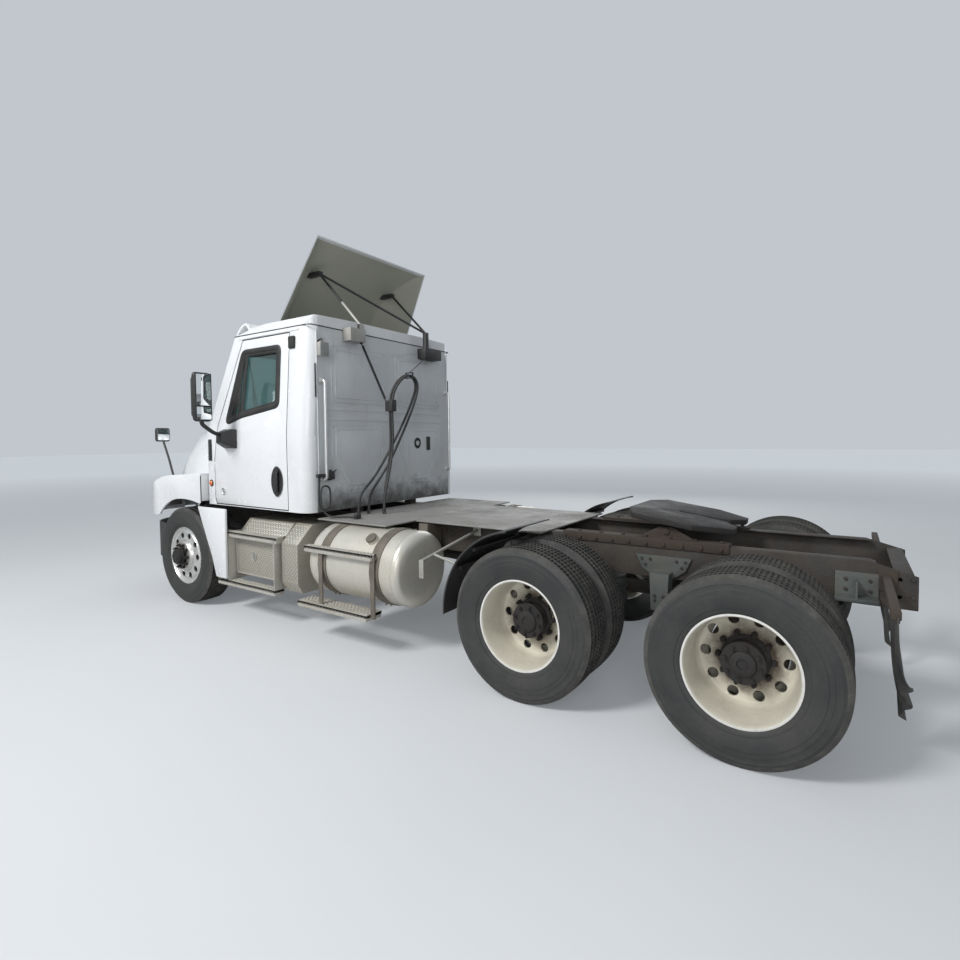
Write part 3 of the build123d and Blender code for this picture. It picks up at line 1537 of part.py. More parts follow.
# Support of the hoses: a sleeve and a ring on lines off the struts' brackets, the fittings, and the
# parked couplers
fitting_radius = 17.0
sleeve_low_z = 1975.0
sleeve_high_z = 2085.0
sleeve_y = 328.0
sleeve_x = (front_hose_x + rear_hose_x) / 2 - 1
ring_y = 138.0
ring_x = front_hose_x - 86
ring_z = 2331.0
line_radius = 5.0
lug = 20.0
lug_height = 16.0
left_line_top = (strut_foot_x + 4, 472, cab_seam_z - 100 - seat_gap)
right_line_top = (strut_foot_x, -432, cab_seam_z - 140 - seat_gap)
with BuildPart() as hose_support:
    with BuildSketch(at_z(sleeve_low_z)):
        with Locations((sleeve_x, sleeve_y)):
            Rectangle(92, 56)
            Rectangle(72, 40, mode=Mode.SUBTRACT)
    extrude(amount=sleeve_high_z - sleeve_low_z)
    for x, y, z in (left_line_top, right_line_top):
        block((x - lug / 2, y - lug / 2, z - lug_height), (x + lug / 2, y + lug / 2, z))
    lug_middle = Vector(0, 0, lug_height / 2)
    line_low = Vector(sleeve_x + 36, sleeve_y + 24, sleeve_high_z - 20)
    rod(line_low, Vector(*left_line_top) - lug_middle, line_radius, sides=8)
    with BuildSketch(at_y(ring_y + 6)):
        with Locations((ring_x, ring_z)):
            Rectangle(96, 60)
            Rectangle(76, 42, mode=Mode.SUBTRACT)
    extrude(amount=12)
    rod((ring_x, ring_y, ring_z + 26), Vector(*right_line_top) - lug_middle, line_radius, sides=8)
    for x, y in (front_foot, front_far_foot, rear_foot, rear_far_foot):
        rod((x, y, deck_top_z + seat_gap), (x, y, hose_foot_z), fitting_radius, sides=8)
    block(
        (corner_x - 15, loop_bracket_y, loop_bracket_z),
        (cab_back_x - seat_gap, loop_bracket_y + 22, loop_bracket_z + 30),
    )
    block((corner_x - 15, loop_bracket_y, loop_bracket_z), (corner_x + 15, 980, loop_bracket_z + 30))
    block(
        (corner_end[0] - 40, corner_end[1] - 25, deck_top_z + seat_gap),
        (corner_end[0], corner_end[1] + 25, deck_top_z + 40),
    )
    block((cab_back_x - 55, 785, 1345), (cab_back_x - seat_gap, 845, 1420))
hand_in(hose_support, "hose_support")

# Quarter fenders ahead of the drive wheels, on two arms a side
quarter_radius = 605.0
quarter_wall = 8.0
quarter_inner_y = deck_rear_half + 10
quarter_outer_y = 1215.0
quarter_low_angle = -2
quarter_high_angle = 82
quarter_flats = 8
arm_table = (
    # angle round the wheel, where the arm starts
    (49, rail_outer_y + seat_gap),
    (31, rail_outer_y + hanger_plate + seat_gap),
)


def round_drive_wheel(radius, angle):
    """Point in x and z at an angle above level, ahead of the front drive axle."""
    return (front_drive_x + radius * cos(radians(angle)), tyre_radius + radius * sin(radians(angle)))


with BuildPart() as quarter_fenders:
    with BuildSketch(at_y(quarter_outer_y)):
        quarter_step = (quarter_high_angle - quarter_low_angle) / quarter_flats
        quarter_angles = [quarter_low_angle + quarter_step * k for k in range(quarter_flats + 1)]
        inner = [round_drive_wheel(quarter_radius, angle) for angle in quarter_angles]
        outer = [round_drive_wheel(quarter_radius + quarter_wall, angle) for angle in quarter_angles]
        outline(*inner, *reversed(outer))
    extrude(amount=quarter_outer_y - quarter_inner_y)
    for angle, start_y in arm_table:
        arm_point = round_drive_wheel(quarter_radius - 7, angle)
        rod((arm_point[0], start_y, arm_point[1]), (arm_point[0], quarter_outer_y - 60, arm_point[1]), 16)
    mirror(about=Plane.XZ)
hand_in(quarter_fenders, "quarter_fenders")

# Mudflaps on arms from the rail tips
flap_x = rear_end_x + 129
with BuildPart() as mudflaps:
    block((flap_x, rail_outer_y + seat_gap, 880), (flap_x + 40, 1180, 920))
    block((flap_x + 14, 600, 180), (flap_x + 22, 1190, 900))
    mirror(about=Plane.XZ)
hand_in(mudflaps, "mudflaps")

# Fifth wheel: slide rails and brackets on the frame, and the plate that tips on its pins
slide_rear_x = fifth_x - 420
slide_front_x = fifth_x + 770
slide_top_z = rail_top_z + 18
bracket_y = 380.0
bracket_width = 30.0
fifth_pin_radius = 25.0
fifth_pin_reach = 20.0
with BuildPart() as fifth_wheel_base:
    for side in (1, -1):
        block(
            (slide_rear_x, side * rail_outer_y, hanger_top_z + 55),
            (slide_front_x, side * (rail_outer_y + 12), slide_top_z),
        )
        block(
            (slide_rear_x, side * (rail_outer_y + 12), rail_top_z),
            (slide_front_x, side * rail_inner_y, slide_top_z),
        )
        with BuildSketch(at_y(side * bracket_y + bracket_width / 2)):
            outline(
                (fifth_x - 190, slide_top_z - 1),
                (fifth_x + 190, slide_top_z - 1),
                (fifth_x + 50, fifth_pivot_z + 28),
                (fifth_x - 50, fifth_pivot_z + 28),
            )
        extrude(amount=bracket_width)
        pin_inner = side * (bracket_y - bracket_width / 2 - fifth_pin_reach - turn_gap)
        pin_outer = side * (bracket_y + bracket_width / 2 + 10)
        rod((fifth_x, pin_inner, fifth_pivot_z), (fifth_x, pin_outer, fifth_pivot_z), fifth_pin_radius)
hand_in(fifth_wheel_base, "fifth_wheel_base")

tilt = radians(fifth_rest_tilt)
fifth_up = Vector(-sin(tilt), 0, cos(tilt))
fifth_plane = Plane(origin=(fifth_x, 0, fifth_pivot_z), x_dir=(cos(tilt), 0, sin(tilt)), z_dir=fifth_up)
fifth_lug_radius = 42.0
fifth_lug_y = bracket_y - bracket_width / 2 - turn_gap
with BuildPart() as fifth_wheel:
    with BuildSketch(fifth_plane.offset(fifth_lift)):
        outline(
            (fifth_front, -250),
            (fifth_front, 250),
            (fifth_front - 90, fifth_half_width),
            (-180, fifth_half_width),
            (-fifth_rear, 300),
            (-fifth_rear, 190),
            (-330, 60),
            (-150, kingpin_slot_radius),
            (0, kingpin_slot_radius),
            (0, -kingpin_slot_radius),
            (-150, -kingpin_slot_radius),
            (-330, -60),
            (-fifth_rear, -190),
            (-fifth_rear, -300),
            (-180, -fifth_half_width),
            (fifth_front - 90, -fifth_half_width),
        )
        Circle(kingpin_slot_radius, mode=Mode.SUBTRACT)
    extrude(amount=fifth_plate)
    for side in (1, -1):
        lug_face = side * fifth_lug_y
        lug_back = side * (fifth_lug_y - fifth_pin_reach)
        top = fifth_up * (fifth_lift + 1) + Vector(fifth_x, 0, fifth_pivot_z)
        along = Vector(cos(tilt), 0, sin(tilt)) * fifth_lug_radius
        with BuildSketch(at_y(max(lug_face, lug_back))):
            corners = (
                top + along,
                top - along,
                top - along - fifth_up * (fifth_lift + 1),
                top + along - fifth_up * (fifth_lift + 1),
            )
            outline(*[(c.X, c.Z) for c in corners])
            with Locations((fifth_x, fifth_pivot_z)):
                RegularPolygon(fifth_lug_radius, bar_sides)
                RegularPolygon(
                    fifth_pin_radius + run_gap,
                    bar_sides,
                    major_radius=False,
                    rotation=180 / bar_sides,
                    mode=Mode.SUBTRACT,
                )
        extrude(amount=fifth_pin_reach)
hand_in(fifth_wheel, "fifth_wheel")
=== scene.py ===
import json
from math import cos, pi, radians, sin

import bpy
from mathutils import Matrix, Vector


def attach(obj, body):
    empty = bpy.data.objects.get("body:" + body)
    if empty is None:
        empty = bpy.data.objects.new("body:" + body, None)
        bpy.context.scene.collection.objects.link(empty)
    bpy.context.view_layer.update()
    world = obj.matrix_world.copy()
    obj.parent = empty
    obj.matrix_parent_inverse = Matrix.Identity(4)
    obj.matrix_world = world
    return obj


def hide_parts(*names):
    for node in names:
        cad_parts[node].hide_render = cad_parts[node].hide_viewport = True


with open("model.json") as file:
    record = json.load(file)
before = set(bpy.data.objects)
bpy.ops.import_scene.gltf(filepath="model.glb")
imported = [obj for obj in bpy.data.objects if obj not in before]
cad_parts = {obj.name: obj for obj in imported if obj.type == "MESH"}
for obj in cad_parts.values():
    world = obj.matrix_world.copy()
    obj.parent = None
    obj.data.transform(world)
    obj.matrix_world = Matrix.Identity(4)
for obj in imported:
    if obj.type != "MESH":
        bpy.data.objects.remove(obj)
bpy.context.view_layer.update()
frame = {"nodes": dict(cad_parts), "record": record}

NODES = frame["nodes"]
RECORD = frame["record"]
BODY_OF = {node: body for body, names in RECORD["behaviour"]["bodies"].items() for node in names}
SLOT_OF = {row["node"]: row["material_slot"] for row in RECORD["subparts"]}

# Camera, fitted to the photograph: place, viewing directions, focal length and principal point in pixels
PHOTO_SIZE = 960.0
CAMERA_PLACE = (-3.389, 4.101, 1.705)
CAMERA_RIGHT = (-0.8486, -0.5290, -0.0070)
CAMERA_AHEAD = (0.5288, -0.8479, -0.0383)
FOCAL_PIXELS = 537.6
PRINCIPAL_X = 512.3
PRINCIPAL_Y = 459.3
SENSOR = 36.0

# Sizes of the vehicle, in metres
TYRE_RADIUS = 0.505
FRONT_AXLE_X = 2.5
DRIVE_AXLES_X = {"front": -1.615, "rear": -2.935}
FRONT_RIM_Y = 1.043
DUAL_OUTER_Y = 1.084
DUAL_INNER_Y = 0.742
DUAL_DISC_Y = 0.973
HAND_HOLE_CIRCLE = 0.213
CAB_BACK_X = 0.655
CAB_BELT_Z = 1.75
CAB_SEAM_Z = 2.733
CAB_HALF_BELT = 1.045
LOWER_LEAN = 0.00714
UPPER_LEAN = 0.06104
TANK_Y = 0.882
TANK_Z = 0.670
SIDES = (("left", 1), ("right", -1))
MERGE_REACH = 0.00002


def select_only(piece):
    """Select one object, and nothing else."""
    bpy.ops.object.select_all(action="DESELECT")
    piece.select_set(True)
    bpy.context.view_layer.objects.active = piece


def edit(piece):
    """Open a mesh for editing, with all its points selected."""
    select_only(piece)
    bpy.ops.object.mode_set(mode="EDIT")
    bpy.ops.mesh.select_mode(type="VERT")
    bpy.ops.mesh.select_all(action="SELECT")


def close_edit():
    bpy.ops.object.mode_set(mode="OBJECT")


def edit_faces(piece, test):
    """Open a mesh with those faces selected whose centre and normal pass a test."""
    for part in (piece.data.vertices, piece.data.edges, piece.data.polygons):
        part.foreach_set("select", [False] * len(part))
    for face in piece.data.polygons:
        face.select = test(face.center, face.normal)
    select_only(piece)
    bpy.ops.object.mode_set(mode="EDIT")
    bpy.ops.mesh.select_mode(type="FACE")


def new_object(name, data):
    """Object of a mesh, curve, lamp or camera, linked to the scene."""
    made = bpy.data.objects.new(name, data)
    bpy.context.scene.collection.objects.link(made)
    return made


def aimed(place, way, axis="Z"):
    """Place of an object whose axis points along a way."""
    return Matrix.Translation(place) @ way.to_track_quat(axis, "Y").to_matrix().to_4x4()


def named(name):
    """The object that was just added, with its new name and its place in its mesh."""
    piece = bpy.context.view_layer.objects.active
    select_only(piece)
    bpy.ops.object.transform_apply(location=True, rotation=True, scale=True)
    piece.name = name
    piece.data.name = name
    return piece


def shape_by(piece, kind, **settings):
    """Add a modifier with its settings, and apply it."""
    select_only(piece)
    modifier = piece.modifiers.new(kind.title(), kind)
    for key, value in settings.items():
        setattr(modifier, key, value)
    bpy.ops.object.modifier_apply(modifier=modifier.name)


def round_edges(piece, width, angle=30):
    shape_by(piece, "BEVEL", width=width, segments=2, limit_method="ANGLE", angle_limit=radians(angle))


def smooth(piece, angle=35):
    select_only(piece)
    bpy.ops.object.shade_smooth_by_angle(angle=radians(angle))


def outward(piece):
    """Merge doubled points and turn all faces outwards."""
    edit(piece)
    bpy.ops.mesh.remove_doubles(threshold=MERGE_REACH)
    bpy.ops.mesh.normals_make_consistent(inside=False)
    close_edit()


def joined(name, pieces):
    """One object of several."""
    bpy.ops.object.select_all(action="DESELECT")
    for piece in pieces:
        piece.select_set(True)
    bpy.context.view_layer.objects.active = pieces[0]
    if len(pieces) > 1:
        bpy.ops.object.join()
    pieces[0].name = name
    return pieces[0]


def copy_of(piece, name, move=(0, 0, 0), flip_y=False, turn=None):
    """Copy with its own mesh, turned, moved and, for the other side, mirrored."""
    twin = new_object(name, piece.data.copy())
    change = Matrix.Translation(move)
    if turn is not None:
        change = change @ turn
    if flip_y:
        change = Matrix.Diagonal((1, -1, 1, 1)) @ change
    twin.data.transform(change)
    if flip_y:
        twin.data.flip_normals()
    return twin


def rounded_box(name, low, high, edge=0.006, segments=3):
    """Box between two corners with its edges rounded."""
    size = [b - a for a, b in zip(low, high)]
    middle = [(a + b) / 2 for a, b in zip(low, high)]
    bpy.ops.mesh.primitive_cube_add(size=1, location=middle)
    bpy.context.object.scale = size
    piece = named(name)
    shape_by(piece, "BEVEL", width=min(edge, 0.45 * min(abs(s) for s in size)), segments=segments)
    smooth(piece, 40)
    return piece


def round_bar(name, start, end, radius, sides=24, edge=0.002):
    """Round bar from one point to another with its ends softened."""
    way = Vector(end) - Vector(start)
    bpy.ops.mesh.primitive_cylinder_add(vertices=sides, radius=radius, depth=way.length)
    bpy.context.object.matrix_world = aimed((Vector(start) + Vector(end)) / 2, way)
    piece = named(name)
    round_edges(piece, min(edge, radius / 3), 50)
    smooth(piece, 40)
    return piece


def round_curve(name, path, radius, steps):
    """Curve object of round section that follows a path softly."""
    line = bpy.data.curves.new(name, "CURVE")
    line.dimensions = "3D"
    line.bevel_depth = radius
    line.bevel_resolution = 4
    line.resolution_u = steps
    line.use_fill_caps = True
    spline = line.splines.new("NURBS")
    spline.points.add(len(path) - 1)
    for point, spot in zip(spline.points, path):
        point.co = (*spot, 1)
    spline.order_u = 3
    spline.use_endpoint_u = True
    return new_object(name, line)


def bent_bar(name, points, radius, round_by=0.06):
    """Tube through a few points with rounded corners."""
    path = [Vector(points[0])]
    for before, corner, after in zip(points, points[1:], points[2:]):
        corner = Vector(corner)
        ends = [corner + (Vector(beside) - corner).normalized() * round_by for beside in (before, after)]
        path += [ends[0], corner, ends[1]]
    path.append(Vector(points[-1]))
    select_only(round_curve(name, path, radius, 12))
    bpy.ops.object.convert(target="MESH")
    piece = bpy.context.view_layer.objects.active
    piece.name = name
    outward(piece)
    smooth(piece, 50)
    return piece


def spun(name, profile, steps, centre=(0, 0, 0), axis="Y", angle=2 * pi):
    """Form turned about an axis from a closed profile of (along the axis, radius) corners."""
    along = Vector([float(letter == axis) for letter in "XYZ"])
    across = Vector((0, 0, 1)) if axis == "X" else Vector((1, 0, 0))
    corners = [Vector(centre) + along * a + across * r for a, r in profile]
    if profile[0][1] > 0 and profile[-1][1] > 0:
        corners.append(corners[0])
    bpy.ops.mesh.primitive_plane_add(size=0.01, location=corners[0])
    piece = named(name)
    edit(piece)
    bpy.ops.mesh.merge(type="CENTER")
    for here, there in zip(corners, corners[1:]):
        bpy.ops.mesh.extrude_region_move(TRANSFORM_OT_translate={"value": there - here})
    bpy.ops.mesh.select_all(action="SELECT")
    bpy.ops.mesh.remove_doubles(threshold=MERGE_REACH)
    if angle < 2 * pi:
        bpy.ops.mesh.edge_face_add()
    bpy.ops.mesh.select_all(action="SELECT")
    bpy.ops.mesh.spin(steps=steps, angle=angle, center=centre, axis=along)
    bpy.ops.mesh.select_all(action="SELECT")
    bpy.ops.mesh.remove_doubles(threshold=MERGE_REACH)
    bpy.ops.mesh.normals_make_consistent(inside=False)
    close_edit()
    return piece


def ride(piece, material, body="chassis", slot=None, replaces=()):
    """Give a finished piece its material and its body; its slot, unless told otherwise the finish's usual
    one, is looked up but not given to it.
    """
    if material is not None:
        piece.data.materials.clear()
        piece.data.materials.append(material)
    slot = slot or USUAL_SLOT[material.name]
    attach(piece, body)
    if replaces:
        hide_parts(*replaces)
    return piece


def dressed(node, material, edge, reshape=None, cuts=0):
    """A node's own form with its edges softened, standing for the node."""
    piece = new_object(f"{node}_dressed", NODES[node].data.copy())
    edit(piece)
    bpy.ops.mesh.remove_doubles(threshold=MERGE_REACH)
    bpy.ops.mesh.dissolve_limited(angle_limit=radians(0.6))
    if cuts:
        bpy.ops.mesh.quads_convert_to_tris()
        bpy.ops.mesh.subdivide(number_cuts=cuts)
    close_edit()
    if reshape:
        for corner in piece.data.vertices:
            corner.co = reshape(corner.co)
    round_edges(piece, edge, 32)
    smooth(piece, 38)
    return ride(piece, material, BODY_OF[node], SLOT_OF[node], (node,))


def paint_faces(piece, material, test):
    """Give a further finish to the faces whose centre and normal pass a test."""
    piece.data.materials.append(material)
    for face in piece.data.polygons:
        if test(face.center, face.normal):
            face.material_index = len(piece.data.materials) - 1


def repeated(piece, count, offset):
    shape_by(
        piece, "ARRAY", count=count, use_relative_offset=False, use_constant_offset=True,
        constant_offset_displace=offset,
    )


def in_rows(piece, count, pitch, rows):
    """Repeat a piece in rows along X, and the rows along Y."""
    repeated(piece, count, (pitch, 0, 0))
    repeated(piece, rows, (0, pitch, 0))
    return piece


# Node groups for the effects that many finishes share
def node_group(name, inputs, outputs):
    """Empty shader group with named sockets: (label, kind, default)."""
    tree = bpy.data.node_groups.new(name, "ShaderNodeTree")
    for label, kind, default in inputs:
        socket = tree.interface.new_socket(name=label, in_out="INPUT", socket_type=f"NodeSocket{kind}")
        socket.default_value = default
    for label, kind in outputs:
        tree.interface.new_socket(name=label, in_out="OUTPUT", socket_type=f"NodeSocket{kind}")
    return tree, tree.nodes.new("NodeGroupInput"), tree.nodes.new("NodeGroupOutput")


def add(tree, kind, inputs=None, **settings):
    """New node with its settings, its inputs given as values or as sockets to link."""
    node = tree.nodes.new(kind)
    for key, value in settings.items():
        setattr(node, key, value)
    for key, value in (inputs or {}).items():
        if isinstance(value, bpy.types.NodeSocket):
            tree.links.new(value, node.inputs[key])
        else:
            node.inputs[key].default_value = value
    return node.outputs


def object_place(tree):
    return add(tree, "ShaderNodeTexCoord")["Object"]


def maths(tree, operation, first, second, clamp=False):
    return add(tree, "ShaderNodeMath", {0: first, 1: second}, operation=operation, use_clamp=clamp)[0]


def plus(tree, first, second, clamp=False):
    return maths(tree, "ADD", first, second, clamp)


def minus(tree, first, second, clamp=False):
    return maths(tree, "SUBTRACT", first, second, clamp)


def times(tree, first, second, clamp=False):
    return maths(tree, "MULTIPLY", first, second, clamp)


def spread(tree, value, low, high, out_low=0.0, out_high=1.0):
    """Map a value's stretch from low to high onto another stretch."""
    settings = {"Value": value, "From Min": low, "From Max": high, "To Min": out_low, "To Max": out_high}
    return add(tree, "ShaderNodeMapRange", settings)["Result"]


def mixed(tree, factor, first, second):
    """Mix of two colours."""
    return add(tree, "ShaderNodeMix", {0: factor, 6: first, 7: second}, data_type="RGBA")[2]


def noise(tree, place, scale, detail=5.0, rough=0.6):
    settings = {"Vector": place, "Scale": scale, "Detail": detail, "Roughness": rough}
    return add(tree, "ShaderNodeTexNoise", settings)["Fac"]


def road_dust_group():
    """Dust that lies in patches, and thicker towards the road."""
    tree, given, out = node_group(
        "road_dust",
        [
            ("Clean", "Color", (0.8, 0.8, 0.8, 1)),
            ("Dust", "Color", (0.35, 0.31, 0.26, 1)),
            ("Amount", "Float", 0.3),
            ("Low Amount", "Float", 0.5),
            ("Scale", "Float", 3.0),
        ],
        [("Color", "Color"), ("Mask", "Float")],
    )
    place = object_place(tree)
    broad = spread(tree, noise(tree, place, given.outputs["Scale"]), 0.36, 0.72)
    fine = spread(tree, noise(tree, place, 38.0, 3.0), 0.3, 0.75, 0.45, 1.0)
    height = add(tree, "ShaderNodeSeparateXYZ", {"Vector": place})["Z"]
    low = spread(tree, height, 1.25, 0.15)
    patches = times(tree, times(tree, broad, fine), given.outputs["Amount"])
    splash = times(tree, times(tree, low, fine), given.outputs["Low Amount"])
    mask = plus(tree, patches, splash, clamp=True)
    tree.links.new(mixed(tree, mask, given.outputs["Clean"], given.outputs["Dust"]), out.inputs["Color"])
    tree.links.new(mask, out.inputs["Mask"])
    return tree


def run_marks_group():
    """Marks that rain has drawn down the panels."""
    tree, given, out = node_group(
        "run_marks",
        [
            ("Base", "Color", (0.8, 0.8, 0.8, 1)), ("Mark", "Color", (0.3, 0.27, 0.22, 1)),
            ("Amount", "Float", 0.3),
        ],
        [("Color", "Color")],
    )
    place = object_place(tree)
    drawn = add(tree, "ShaderNodeMapping", {"Vector": place, "Scale": (14.0, 14.0, 0.9)})["Vector"]
    lines = spread(tree, noise(tree, drawn, 1.6, 5.0, 0.7), 0.58, 0.76)
    where = spread(tree, noise(tree, place, 1.3, 2.0), 0.42, 0.65)
    mask = times(tree, times(tree, lines, where), given.outputs["Amount"])
    tree.links.new(mixed(tree, mask, given.outputs["Base"], given.outputs["Mark"]), out.inputs["Color"])
    return tree


def rust_group():
    """Rust that breaks through paint in patches with a speckled edge."""
    tree, given, out = node_group(
        "rust_patches",
        [("Paint", "Color", (0.1, 0.1, 0.1, 1)), ("Amount", "Float", 0.4), ("Scale", "Float", 9.0)],
        [("Color", "Color"), ("Mask", "Float")],
    )
    place = object_place(tree)
    field = noise(tree, place, given.outputs["Scale"], 8.0, 0.72)
    edge = minus(tree, 0.78, times(tree, given.outputs["Amount"], 0.4))
    mask = spread(tree, field, edge, plus(tree, edge, 0.09))
    tone = spread(tree, noise(tree, place, 60.0, 4.0), 0.3, 0.7)
    rust = mixed(tree, tone, (0.055, 0.026, 0.014, 1), (0.150, 0.078, 0.042, 1))
    tree.links.new(mixed(tree, mask, given.outputs["Paint"], rust), out.inputs["Color"])
    tree.links.new(mask, out.inputs["Mask"])
    return tree


def grain_group():
    """Fine unevenness of a surface, and the change in its gloss."""
    tree, given, out = node_group(
        "surface_grain",
        [("Scale", "Float", 120.0), ("Gloss Low", "Float", 0.3), ("Gloss High", "Float", 0.5)],
        [("Height", "Float"), ("Roughness", "Float")],
    )
    place = object_place(tree)
    fine = noise(tree, place, given.outputs["Scale"], 4.0, 0.55)
    broad = noise(tree, place, 4.0, 6.0, 0.65)
    span = minus(tree, given.outputs["Gloss High"], given.outputs["Gloss Low"])
    gloss = plus(tree, times(tree, spread(tree, broad, 0.32, 0.68), span), given.outputs["Gloss Low"])
    tree.links.new(fine, out.inputs["Height"])
    tree.links.new(gloss, out.inputs["Roughness"])
    return tree


ROAD_DUST = road_dust_group()
RUN_MARKS = run_marks_group()
RUST = rust_group()
GRAIN = grain_group()
DUST_BROWN = (0.30, 0.26, 0.21, 1)
DUST_GREY = (0.36, 0.34, 0.31, 1)
# Colour of the painted highlight along the rims' lips
RIM_LIP_HIGHLIGHT = (0.76, 0.755, 0.72, 1)


def use_group(tree, group, inputs):
    return add(tree, "ShaderNodeGroup", inputs, node_tree=group)


def plain_material(name):
    """New material with its tree and its shader."""
    made = bpy.data.materials.new(name)
    made.use_nodes = True
    return made, made.node_tree, made.node_tree.nodes["Principled BSDF"]


def dusted(tree, shader, clean, dust, amount, low_amount, scale):
    """Link a colour through road dust, and give the dust's mask."""
    inputs = {"Clean": clean, "Dust": dust, "Amount": amount, "Low Amount": low_amount, "Scale": scale}
    film = use_group(tree, ROAD_DUST, inputs)
    tree.links.new(film["Color"], shader.inputs["Base Color"])
    return film["Mask"]


def worn_surface(tree, shader, grain_scale, gloss, soil, dulling, metallic, strength, distance):
    """Gloss and bump with grain, dulled where soil lies, and metal that shows only where it doesn't."""
    surface = use_group(tree, GRAIN, {"Scale": grain_scale, "Gloss Low": gloss[0], "Gloss High": gloss[1]})
    dulled = plus(tree, surface["Roughness"], times(tree, soil, dulling), clamp=True)
    tree.links.new(dulled, shader.inputs["Roughness"])
    if metallic:
        bare = minus(tree, metallic, times(tree, soil, metallic), clamp=True)
        tree.links.new(bare, shader.inputs["Metallic"])
    bump = {"Height": surface["Height"], "Strength": strength, "Distance": distance}
    tree.links.new(add(tree, "ShaderNodeBump", bump)["Normal"], shader.inputs["Normal"])


def finish(name, colour, gloss, grain, dust, metallic=0.0, marks=0.0, rust=None, coat=0.0):
    """Worn finish: colour, then rust, run marks and dust, with grain in its gloss and bump."""
    made, tree, shader = plain_material(name)
    base = (*colour, 1)
    if rust:
        base = use_group(tree, RUST, {"Paint": base, "Amount": rust[0], "Scale": rust[1]})["Color"]
    if marks:
        base = use_group(tree, RUN_MARKS, {"Base": base, "Amount": marks})["Color"]
    soil = dusted(tree, shader, base, *dust)
    worn_surface(tree, shader, grain[0], gloss, soil, 0.35, metallic, 0.35, grain[1] / 10)
    shader.inputs["Coat Weight"].default_value = coat
    return made


def soiled_foot(made, low_z, high_z, grime, strength):
    """Grime that climbs a wall unevenly from its foot, over a finish's own colour."""
    tree = made.node_tree
    shader = tree.nodes["Principled BSDF"]
    clean = shader.inputs["Base Color"].links[0].from_socket
    place = object_place(tree)
    height = add(tree, "ShaderNodeSeparateXYZ", {"Vector": place})["Z"]
    ragged = times(tree, minus(tree, noise(tree, place, 7.0, 6.0, 0.7), 0.5), 0.5)
    mask = spread(tree, plus(tree, height, ragged), high_z, low_z)
    mask = times(tree, mask, strength, clamp=True)
    tree.links.new(mixed(tree, mask, clean, (*grime, 1)), shader.inputs["Base Color"])


def glass_finish(name, colour):
    made, tree, shader = plain_material(name)
    film = dusted(tree, shader, (*colour, 1), (0.5, 0.5, 0.47, 1), 0.12, 0.0, 6.0)
    tree.links.new(plus(tree, times(tree, film, 0.3), 0.03), shader.inputs["Roughness"])
    shader.inputs["Transmission Weight"].default_value = 0.92
    shader.inputs["IOR"].default_value = 1.45
    return made


def wheel_finish(name, colour, axle_x, metallic, gloss, stain, stain_reach):
    """Wheel paint or polish with brown grease thrown out from the hub, and a pale ring on the rim's lip as a
    painted highlight.
    """
    made, tree, shader = plain_material(name)
    place = object_place(tree)
    centred = add(
        tree, "ShaderNodeMapping",
        {"Vector": place, "Location": (-axle_x, 0, -TYRE_RADIUS), "Scale": (1, 0, 1)},
    )
    radius = add(tree, "ShaderNodeVectorMath", {0: centred["Vector"]}, operation="LENGTH")["Value"]
    uneven = times(tree, minus(tree, noise(tree, place, 9.0, 6.0, 0.7), 0.5), 0.16)
    grease = spread(tree, plus(tree, radius, uneven), stain_reach, stain_reach - 0.09)
    # A pale ring at the rim's lip is a painted highlight
    lip = mixed(tree, spread(tree, radius, 0.2835, 0.2865), (*colour, 1), RIM_LIP_HIGHLIGHT)
    dark = mixed(tree, grease, lip, (*stain, 1))
    soil = maths(tree, "MAXIMUM", dusted(tree, shader, dark, DUST_BROWN, 0.35, 0.12, 7.0), grease)
    worn_surface(tree, shader, 160.0, gloss, soil, 0.3, metallic, 0.3, 0.002)
    return made


WHITE_PAINT = finish(
    "white_paint_worn", (0.80, 0.815, 0.83), gloss=(0.18, 0.3), grain=(30.0, 0.003),
    dust=((0.46, 0.45, 0.42, 1), 0.07, 0.10, 2.2), marks=0.07, coat=0.25,
)
# Back wall paint: the cab's white made darker and bluer as painted shade, with real dust and run marks on it
BACK_PAINT_DUST_AND_SHADE = finish(
    "white_paint_back_wall_dust_and_shade", (0.62, 0.645, 0.67), gloss=(0.3, 0.5), grain=(30.0, 0.006),
    dust=((0.36, 0.345, 0.31, 1), 0.32, 0.10, 3.2), marks=0.6, coat=0.1,
)
soiled_foot(BACK_PAINT_DUST_AND_SHADE, 1.06, 1.30, (0.045, 0.040, 0.034), 0.85)
SCOOP_INSIDE = finish(
    "scoop_inside_moulding", (0.36, 0.36, 0.30), gloss=(0.55, 0.75), grain=(90.0, 0.03),
    dust=((0.50, 0.49, 0.43, 1), 0.4, 0.0, 2.4), marks=0.3,
)
GLASS = glass_finish("window_glass_tinted", (0.30, 0.46, 0.45))
LENS = glass_finish("lamp_lens_clear", (0.9, 0.93, 0.95))
AMBER = finish(
    "amber_lens", (0.75, 0.16, 0.02), gloss=(0.12, 0.2), grain=(60.0, 0.002), dust=(DUST_GREY, 0.2, 0.0, 8.0),
)
TYRE_SIDE = finish(
    "tyre_sidewall_rubber", (0.021, 0.0225, 0.023), gloss=(0.5, 0.72), grain=(220.0, 0.02),
    dust=((0.088, 0.086, 0.078, 1), 0.55, 0.18, 4.0),
)
TYRE_TREAD = finish(
    "tyre_tread_rubber", (0.040, 0.040, 0.039), gloss=(0.75, 0.92), grain=(260.0, 0.04),
    dust=((0.155, 0.148, 0.132, 1), 0.7, 0.1, 9.0),
)
FRAME_PAINT = finish(
    "frame_paint_dusty", (0.030, 0.026, 0.023), gloss=(0.5, 0.8), grain=(90.0, 0.06),
    dust=((0.090, 0.073, 0.057, 1), 0.75, 0.2, 4.5), rust=(0.26, 9.0),
)
